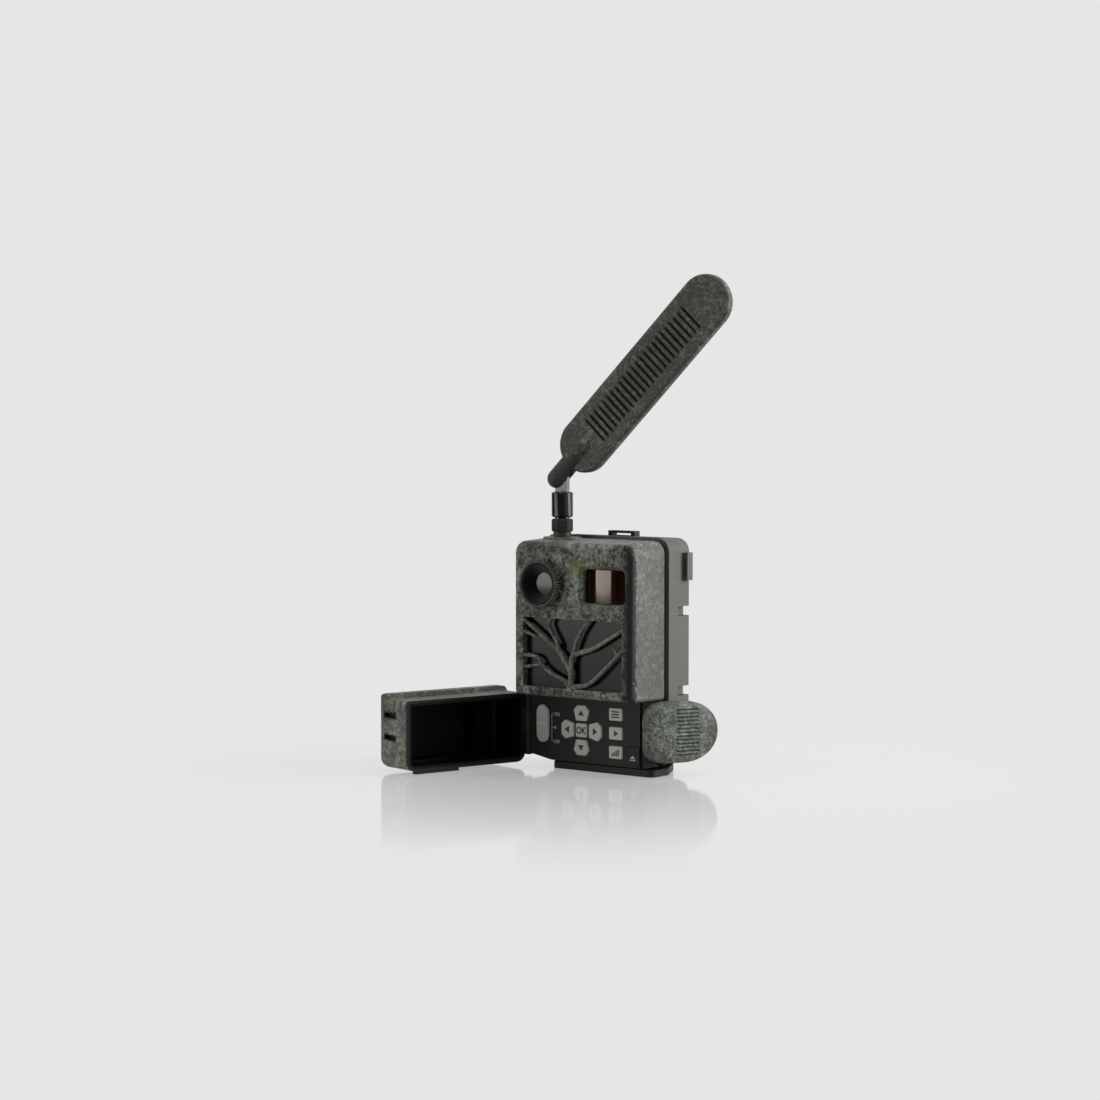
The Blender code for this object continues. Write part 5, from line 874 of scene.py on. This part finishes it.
def bladeHalf(side, grooved):
    # a long round-ended plate: height falls off as a quarter ellipse within edge of the outline,
    # less the grooves, which also get painted shade
    size = bladeSize
    radius = size["width"] / 2
    straight = size["length"] / 2 - radius
    cap = straight + radius * np.sin(np.linspace(0, np.pi / 2, size["capRows"])[:-1])
    tip = straight + radius
    middle = np.linspace(-straight, straight, size["rows"])
    up = np.concatenate([[-tip], -cap[:0:-1], middle, cap[1:], [tip]])[:, None]
    over = np.clip(np.abs(up) - straight, 0, radius)
    half = np.sqrt(np.clip(radius ** 2 - over ** 2, 0, None))
    x = half * np.sin(np.linspace(-np.pi / 2, np.pi / 2, size["columns"]))[None, :]
    inset = np.clip(radius - np.hypot(x, over), 0, size["edge"])
    fall = np.sqrt(np.clip(1 - (1 - inset / size["edge"]) ** 2, 0, 1))
    height = size["edgeFrom"] + (size["thick"] - size["edgeFrom"]) * fall
    fromStart = up - (size["grooveStart"] - straight)
    row = np.clip(np.round(fromStart / size["groovePitch"]), 0, size["grooves"] - 1)
    off = np.abs(fromStart - row * size["groovePitch"]) / (size["grooveWidth"] / 2)
    ends = 1 - smooth((np.abs(x) - size["grooveHalf"] + size["grooveEnd"]) / size["grooveEnd"])
    groove = grooved * smooth(size["grooveSquare"] * np.clip(1 - off ** 2, 0, 1)) * ends
    front = np.stack([x, side * (height - size["grooveDepth"] * groove), up + 0 * x], -1)
    foot = front[:, [-1, 0]].copy()
    foot[..., 1] = side * size["parting"]
    grid = np.concatenate([front, foot], 1)
    grid[..., 2] += size["lift"] + straight
    # the grooves' shares also serve as their painted shade
    return weave(grid, False, True), np.concatenate([groove, 0 * groove[:, :2]], 1)


def nutKnurl():
    # straight knurl: the radius dips once for each ridge, and draws in at both chamfered ends
    size = {"radius": 0.0061, "bore": 0.0033, "ridges": 34, "depth": 0.00045, "dipMean": 0.5,
            "dipSwing": 0.8, "chamfer": 0.0006, "end": 0.93, "endDip": 0.3, "ridgeSteps": 8}
    low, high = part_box("antenna_nut")
    angle = ring(size["ridgeSteps"] * size["ridges"])
    wave = size["dipMean"] - size["dipSwing"] * np.cos(size["ridges"] * angle)
    dip = size["depth"] * np.clip(wave, 0, 1)
    share = np.array([size["end"], 1, 1, size["end"]])[:, None]
    depth = np.array([size["endDip"], 1, 1, size["endDip"]])[:, None]
    height = np.array([low.z, low.z + size["chamfer"], high.z - size["chamfer"], high.z, high.z,
                       low.z])[:, None]
    radius = np.vstack([share * size["radius"] - depth * dip, np.full((2, angle.size), size["bore"])])
    centre = centreOf("antenna_nut")
    return placed(weave(turned(radius, angle, height), True, True),
                  Matrix.Translation((centre.x, centre.y, 0)))


def heightUpStem(points):
    # how far a point is from the tilt axis, along the blade
    return {"along": placed((points, None), bladePlace.inverted())[0][:, 2]}


for side, word, grooved in ((-1, "front", 1), (1, "back", 0)):
    bladeMesh, bladeShade = bladeHalf(side, grooved)
    piece("antenna_blade_" + word, placed(bladeMesh, bladePlace), paints["blade"], "antenna_blade",
          (f"antenna_{word}_half",), sharp=50, tags={"cavityShade": bladeShade})
skin("antenna_stem", paints["stem"], sharp=40, tags=heightUpStem)
piece("antenna_nut_knurled", nutKnurl(), paints["nut"], "antenna_nut", ("antenna_nut",),
      sharp=30)
print("antenna built")


# Fasteners and bush on the back

screwSize = {"radius": 0.0027, "head": 0.0020, "shank": 0.0013, "length": 0.0280,
             "crossLong": 0.0016, "crossWide": 0.00050, "crossDeep": 0.0012, "crown": 0.0004,
             "wideEdge": 0.00018, "longEdge": 0.0005, "rings": 28, "sides": 96}


def onBack(node):
    # the middle of the node's rear face, with +Z to the back
    centre = centreOf(node)
    return Matrix.Translation((centre.x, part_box(node)[1].y, centre.z)) @ towardBack


def crossScrew(node):
    # a domed head with a cross recess: depth follows how far a point is inside a bar of the cross
    size = screwSize
    r = np.linspace(0, 1, size["rings"])[:, None] * size["radius"]
    angle = ring(size["sides"])
    x, y = np.abs(r * np.cos(angle)), np.abs(r * np.sin(angle))
    cross = (smooth((size["crossWide"] - np.minimum(x, y)) / size["wideEdge"])
             * smooth((size["crossLong"] - np.maximum(x, y)) / size["longEdge"]))
    top = -size["crown"] * (r / size["radius"]) ** 2 - size["crossDeep"] * cross
    rest = [(size["radius"], -size["head"]), (size["shank"], -size["head"]),
            (size["shank"], -size["length"]), (0, -size["length"])]
    grids = [turned(r, angle, top)] + [turned(a, angle, b) for a, b in rest]
    mesh = placed(weave(np.concatenate(grids), False, True), onBack(node))
    piece(node + "_cross", mesh, paints["steel"], "body", (node,), sharp=35)


def tripodBush():
    # a bush whose bore carries a thread: the radius is a saw of height less turns
    size = {"outer": 0.0043, "bore": 0.0029, "pitch": 0.00127, "thread": 0.0004, "leadIn": 0.001,
            "rows": 120, "sides": 64}
    low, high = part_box("tripod_insert")
    length = high.y - low.y
    angle = ring(size["sides"])
    height = np.linspace(0, -length, size["rows"])[:, None]
    saw = np.abs((height / size["pitch"] - angle / (2 * np.pi)) % 1 - 0.5) * 2
    bore = size["bore"] + size["thread"] * (saw - 0.5) * smooth(-height / size["leadIn"])
    radius = np.vstack([bore, np.full((2, angle.size), size["outer"])])
    grid = turned(radius, angle, np.vstack([height, [[-length], [0]]]))
    mesh = placed(weave(grid, True, True), onBack("tripod_insert"))
    piece("tripod_bush_thread", mesh, paints["brass"], "body", ("tripod_insert",), sharp=30)


for number in range(1, 5):
    crossScrew(f"body_screw_{number}")
tripodBush()
print("fasteners built")


# Battery cells

cellSize = {"radius": 0.0071, "length": 0.0505, "nub": 0.0027, "nubRise": 0.0012, "nubFoot": 0.0004,
            "nubBend": 0.0002, "nubEdge": 0.0003, "capSink": 0.0001, "roll": 0.0007, "rollSteps": 6,
            "dish": 0.0003, "dishRolls": 2.0, "rimRolls": 1.6, "capRolls": 1.5, "sides": 48}


def batteryCell(node, flipped):
    # a can with rolled ends, a nub at the plus end and a shallow dish at the other
    size = cellSize
    low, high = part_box(node)
    radius, roll, nub, length = (size[key] for key in ("radius", "roll", "nub", "length"))
    shoulder = length - size["nubRise"]
    lid, edge, dish = shoulder - size["capSink"], size["nubEdge"], size["dish"]
    bend = np.linspace(0, np.pi / 2, size["rollSteps"])
    foot = np.stack([radius - roll + roll * np.sin(bend), roll - roll * np.cos(bend)], -1)
    head = np.stack([radius - roll + roll * np.cos(bend), shoulder - roll + roll * np.sin(bend)], -1)
    inside = {key: radius - size[key] * roll for key in ("dishRolls", "rimRolls", "capRolls")}
    base = [(0, dish), (inside["dishRolls"], dish), (inside["rimRolls"], 0.0)]
    cap = [(inside["capRolls"], lid), (nub + size["nubFoot"], lid),
           (nub, shoulder + size["nubBend"]), (nub, length - edge), (nub - edge, length), (0, length)]
    points, faces = lathe(np.concatenate([base, foot, head, cap]), size["sides"])
    centre = centreOf(node)
    place = Matrix.Translation((centre.x, centre.y, high.z if flipped else low.z))
    if flipped:
        place = place @ Matrix.Rotation(math.pi, 4, "X")
    piece(node + "_cell", placed((points, faces), place), paints["cell"], "tray", (node,),
          tags={"along": points[:, 2] / length})


for number in range(8):  # two rows of four, neighbours the other way up
    batteryCell(f"battery_{number + 1}", (number // 4 + number % 4) % 2)
print("cells built")


# Prints on the panel and keys

printSize = {"thick": 0.00006, "lift": 0.00002, "panelFace": -0.0098, "narrow": 0.84, "capital": 0.70,
             "okHeight": 0.0038, "okBold": 0.00016, "wordHeight": 0.0021, "wordBold": 0.00006,
             "labelX": -0.0228, "bracketX": -0.0264, "bracketWidth": 0.00035,
             "bracketZ": (0.0310, 0.0233, 0.0153), "tick": 0.0012, "dot": 0.0016, "dotLeft": 0.0012,
             "arrow": (0.0021, 0.0032), "menuBar": (0.0052, 0.0008), "menuPitch": 0.0015,
             "playArrow": (0.0018, 0.0030), "playRight": 0.0004, "testWidth": 0.0009,
             "testBars": ((-0.0021, 0.0012), (-0.0007, 0.0022), (0.0007, 0.0031), (0.0021, 0.0040)),
             "ejectArrow": (0.0019, 0.0019), "ejectUp": 0.0003, "ejectBar": (0.0038, 0.0006),
             "ejectBarZ": -0.0013, "ejectShift": (0.0, -0.0012)}


def stamp(name, outlines, face, paint, body):
    # flat outlines laid on a front face, each a thin prism
    front = face - printSize["lift"]
    flats = [prism(outline, front - printSize["thick"], front) for outline in outlines]
    piece(name, joined(*flats), paint, body)


def stampOn(name, outlines, node, paint, at=(0, 0)):
    # the same, round the middle of a node's front face
    centre = centreOf(node)
    outlines = [np.asarray(outline) + (centre.x + at[0], centre.z + at[1]) for outline in outlines]
    stamp(name, outlines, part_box(node)[0].y, paint, bodyOf[node])


def bar(width, height, x=0.0, z=0.0):
    # a rectangle, its corners rounded by a fifth of its short side
    return roundedOutline(width, height, min(width, height) * 0.2, 3) + (x, z)


def arrow(degrees, half, tall):
    # a triangle about its middle, turned to its direction
    corners = np.array([(0, 0.56 * tall), (-half, -0.44 * tall), (half, -0.44 * tall)])
    angle = math.radians(degrees)
    turn = np.array([(math.cos(angle), math.sin(angle)), (-math.sin(angle), math.cos(angle))])
    return corners @ turn


def letters(name, text, height, bold, x, face, z, paint, body):
    # a line of narrow lettering, its strokes thickened by bold, centred on its place on a front face
    size = printSize
    curve = bpy.data.curves.new(name, "FONT")
    curve.body = text
    curve.size = height / size["capital"]
    curve.align_x = "CENTER"
    curve.extrude = size["thick"] / 2
    curve.offset = bold
    holder = inScene(name + "_line", curve)
    bpy.context.view_layer.update()
    data = bpy.data.meshes.new_from_object(holder)
    bpy.data.objects.remove(holder, do_unlink=True)
    y = face - size["lift"] - size["thick"] / 2
    narrow = Matrix.Diagonal((size["narrow"], 1, 1, 1))
    data.transform(Matrix.Translation((x, y, z - height / 2)) @ towardFront @ narrow)
    mesh = meshArrays(data)
    bpy.data.meshes.remove(data)
    piece(name, mesh, paint, body, sharp=30)


def keyPrints(paint):
    # arrows, bars and lettering on the keys
    size = printSize
    for word, degrees in (("up", 0), ("left", 90), ("down", 180), ("right", 270)):
        stampOn(f"print_{word}", [arrow(degrees, *size["arrow"])], "key_" + word, paint)
    centre = centreOf("key_ok")
    letters("print_ok", "OK", size["okHeight"], size["okBold"], centre.x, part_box("key_ok")[0].y,
            centre.z, paint, "key_ok")
    rises = (-size["menuPitch"], 0, size["menuPitch"])
    stampOn("print_menu", [bar(*size["menuBar"], 0, rise) for rise in rises], "key_menu", paint)
    stampOn("print_play", [arrow(270, *size["playArrow"]) + (size["playRight"], 0)], "key_play", paint)
    tallest = size["testBars"][-1][1]
    stampOn("print_test", [bar(size["testWidth"], tall, x, (tall - tallest) / 2)
                           for x, tall in size["testBars"]], "key_test", paint)


def panelPrints(paint):
    # the eject sign, the two words, and an upright line beside the switch with a tick to each place
    size = printSize
    stampOn("print_eject", [arrow(0, *size["ejectArrow"]) + (0, size["ejectUp"]),
                            bar(*size["ejectBar"], 0, size["ejectBarZ"])],
            "eject_button", paint, size["ejectShift"])
    high, middle, low = size["bracketZ"]
    for word, z in (("ON", high), ("OFF", low)):
        letters(f"print_{word.lower()}", word, size["wordHeight"], size["wordBold"], size["labelX"],
                size["panelFace"], z, paint, "body")
    wide, left, tick, dot = size["bracketWidth"], size["bracketX"], size["tick"], size["dot"]
    outlines = [bar(wide, high - low + wide, left, (high + low) / 2)]
    outlines += [bar(tick, wide, left + tick / 2, z) for z in size["bracketZ"]]
    outlines.append(roundedOutline(dot, dot, dot / 2, 6) + (size["labelX"] - size["dotLeft"], middle))
    stamp("print_bracket", outlines, size["panelFace"], paint, "body")


def switchRidge():
    # a low rounded bar across the middle of the switch, to push with a nail
    size = {"width": 0.0074, "height": 0.0007, "rise": 0.00035, "sink": 0.0004, "edge": 0.0001}
    front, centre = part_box("switch_cap")[0].y, centreOf("switch_cap")
    outline = bar(size["width"], size["height"], centre.x, centre.z)
    ridge = prism(outline, front - size["rise"], front + size["sink"], size["edge"])
    piece("switch_ridge", ridge, paints["ridge"], "switch")


keyPrints(paints["darkInk"])
panelPrints(paints["paleInk"])
switchRidge()
print("prints laid")


# Studio

studio = {
    "backdrop": 0.791, "ambient": 0.24, "bounce": 0.16, "floorSize": 6.0, "floorLevel": -0.0002,
    "mirror": 0.42, "mirrorRough": 0.08, "mirrorReach": (0.04, 0.37), "shadow": 0.30,
    "shadowReach": (0.06, 0.30), "sheet": 0.95,
}
lamps = {
    # name: (place, aim, width, height, watts, colour, seen in reflections)
    "rimBox": ((1.05, 0.62, 0.45), (0.0, 0.0, 0.09), 0.70, 0.90, 18.0, (1, 1, 1), True),
    "leftBox": ((-0.95, -0.90, 0.42), (0.0, 0.0, 0.12), 0.80, 0.80, 3.2, (1, 1, 1), False),
    "topBox": ((0.10, 0.05, 1.20), (0.0, 0.0, 0.10), 0.80, 0.80, 4.0, (1, 1, 1), True),
    "lowCard": ((-0.764, -1.052, 0.065), (0.0, 0.0, 0.065), 0.84, 0.12, 2.1, (1.0, 0.91, 0.81), True),
}
flags = {"reach": 1.15, "low": 0.001, "high": 0.22, "arcs": ((-18, 62), (-100, -54)), "steps": 24}


def lightRig(leftOut):
    # soft boxes, which light all but the pieces of leftOut
    for name, (place, aim, width, height, watts, colour, mirrored) in lamps.items():
        lamp = bpy.data.lights.new(name, "AREA")
        lamp.shape = "RECTANGLE"
        lamp.size, lamp.size_y, lamp.energy, lamp.color = width, height, watts, colour
        holder = inScene(name, lamp)
        holder.location = place
        holder.rotation_euler = (Vector(aim) - Vector(place)).to_track_quat("-Z", "Y").to_euler()
        holder.visible_glossy = mirrored
        holder.light_linking.receiver_collection = leftOut


def blackFlags():
    # upright dark screens round the front, on arcs of a circle, that only reflections see
    for number, (start, end) in enumerate(flags["arcs"], 1):
        bearing = np.radians(np.linspace(start, end, flags["steps"]))[:, None]
        height = np.array([[flags["low"], flags["high"]]])
        x, y = flags["reach"] * np.sin(bearing), -flags["reach"] * np.cos(bearing)
        grid = np.stack([x + 0 * height, y + 0 * height, height + 0 * x], -1)
        data = newMesh(f"flag_{number}", *weave(grid))
        flag = inScene(f"flag_{number}", data)
        paint = Paint(f"flag_black_{number}",
                      fixed={"Base Color": (0, 0, 0, 1), "Specular IOR Level": 0.0})
        data.materials.append(paint.material)
        flag.visible_camera = flag.visible_diffuse = False
        flag.visible_shadow = flag.visible_transmission = False


def seenDirectly(shading):
    # 1 for rays that show the background itself, straight or in a reflection or through glass
    seen, *others = (shading.node("ShaderNodeLightPath", out=f"Is {kind} Ray")
                     for kind in ("Camera", "Glossy", "Transmission"))
    for ray in others:
        seen = seen.maths("MAXIMUM", seen, ray)
    return seen


def backdropWorld():
    # one grey for what is seen of the backdrop, and a darker one for the light it gives
    world = bpy.data.worlds.new("studio")
    bpy.context.scene.world = world
    world.use_nodes = True
    sky = Shading(world.node_tree)
    tone = sky.blend(seenDirectly(sky), grey(studio["ambient"]), grey(studio["backdrop"]))
    sky.feed(sky.tree.nodes["Background"].inputs["Color"], tone)


def floorPlane(name, level):
    # a wide flat sheet, its material, and a signal of the distance from the object
    corners = np.array([(-1, -1, 0), (1, -1, 0), (1, 1, 0), (-1, 1, 0)]) * studio["floorSize"] / 2
    data = newMesh(name, corners + (0, 0, level), np.array([(0, 1, 2, 3)]))
    plane = inScene(name, data)
    paint = Paint(name + "_pale")
    data.materials.append(paint.material)
    return plane, paint, paint.far((0, 0, 0))


def paleFloor():
    # a pale sheet that fades into the backdrop and takes a soft shadow near the object
    paint, reach = floorPlane("floor", studio["floorLevel"])[1:]
    near = 1 - paint.step(reach, *studio["shadowReach"])
    tone = paint.blend(seenDirectly(paint), grey(studio["bounce"]), grey(studio["backdrop"]))
    glow = paint.node("ShaderNodeEmission", None, {"Color": tone, "Strength": 1.0})
    matt = paint.node("ShaderNodeBsdfDiffuse", None, {"Color": grey(studio["sheet"]) + (1.0,)})
    paint.surface(paint.node("ShaderNodeMixShader", None, [studio["shadow"] * near, glow, matt]))


def floorMirror():
    # a faint mirror over the sheet near the object, which shows the object and not the lamps
    plane, paint, reach = floorPlane("floor_mirror", 0.0)
    shiny = 1 - paint.step(reach, *studio["mirrorReach"])
    clear = paint.node("ShaderNodeBsdfTransparent")
    mirror = paint.node("ShaderNodeBsdfGlossy", None,
                        {"Color": (1, 1, 1, 1), "Roughness": studio["mirrorRough"]})
    paint.surface(paint.node("ShaderNodeMixShader", None, [studio["mirror"] * shiny, clear, mirror]))
    plane.visible_shadow = plane.visible_diffuse = False
    leftOut = bpy.data.collections.new("left_out_of_lamps")
    leftOut.objects.link(plane)
    leftOut.collection_objects[0].light_linking.link_state = "EXCLUDE"
    return leftOut


def photoCamera():
    # the photograph's viewpoint: bearing and pitch in degrees, focal length and frame in pixels
    view = {"bearing": 37.88, "pitch": 3.25, "focal": 2797.3, "frame": 1100, "sensor": 36.0,
            "place": (0.94642, -1.26216, 0.21442), "near": 0.01}
    data = bpy.data.cameras.new("camera")
    data.sensor_width = view["sensor"]
    data.lens = data.sensor_width * view["focal"] / view["frame"]
    data.clip_start = view["near"]
    camera = inScene("camera", data)
    camera.location = view["place"]
    camera.rotation_euler = (math.radians(90 - view["pitch"]), 0, math.radians(view["bearing"]))
    bpy.context.scene.camera = camera


lightRig(floorMirror())
blackFlags()
backdropWorld()
paleFloor()
photoCamera()
bpy.context.scene.view_settings.view_transform = "Standard"
print("studio set")
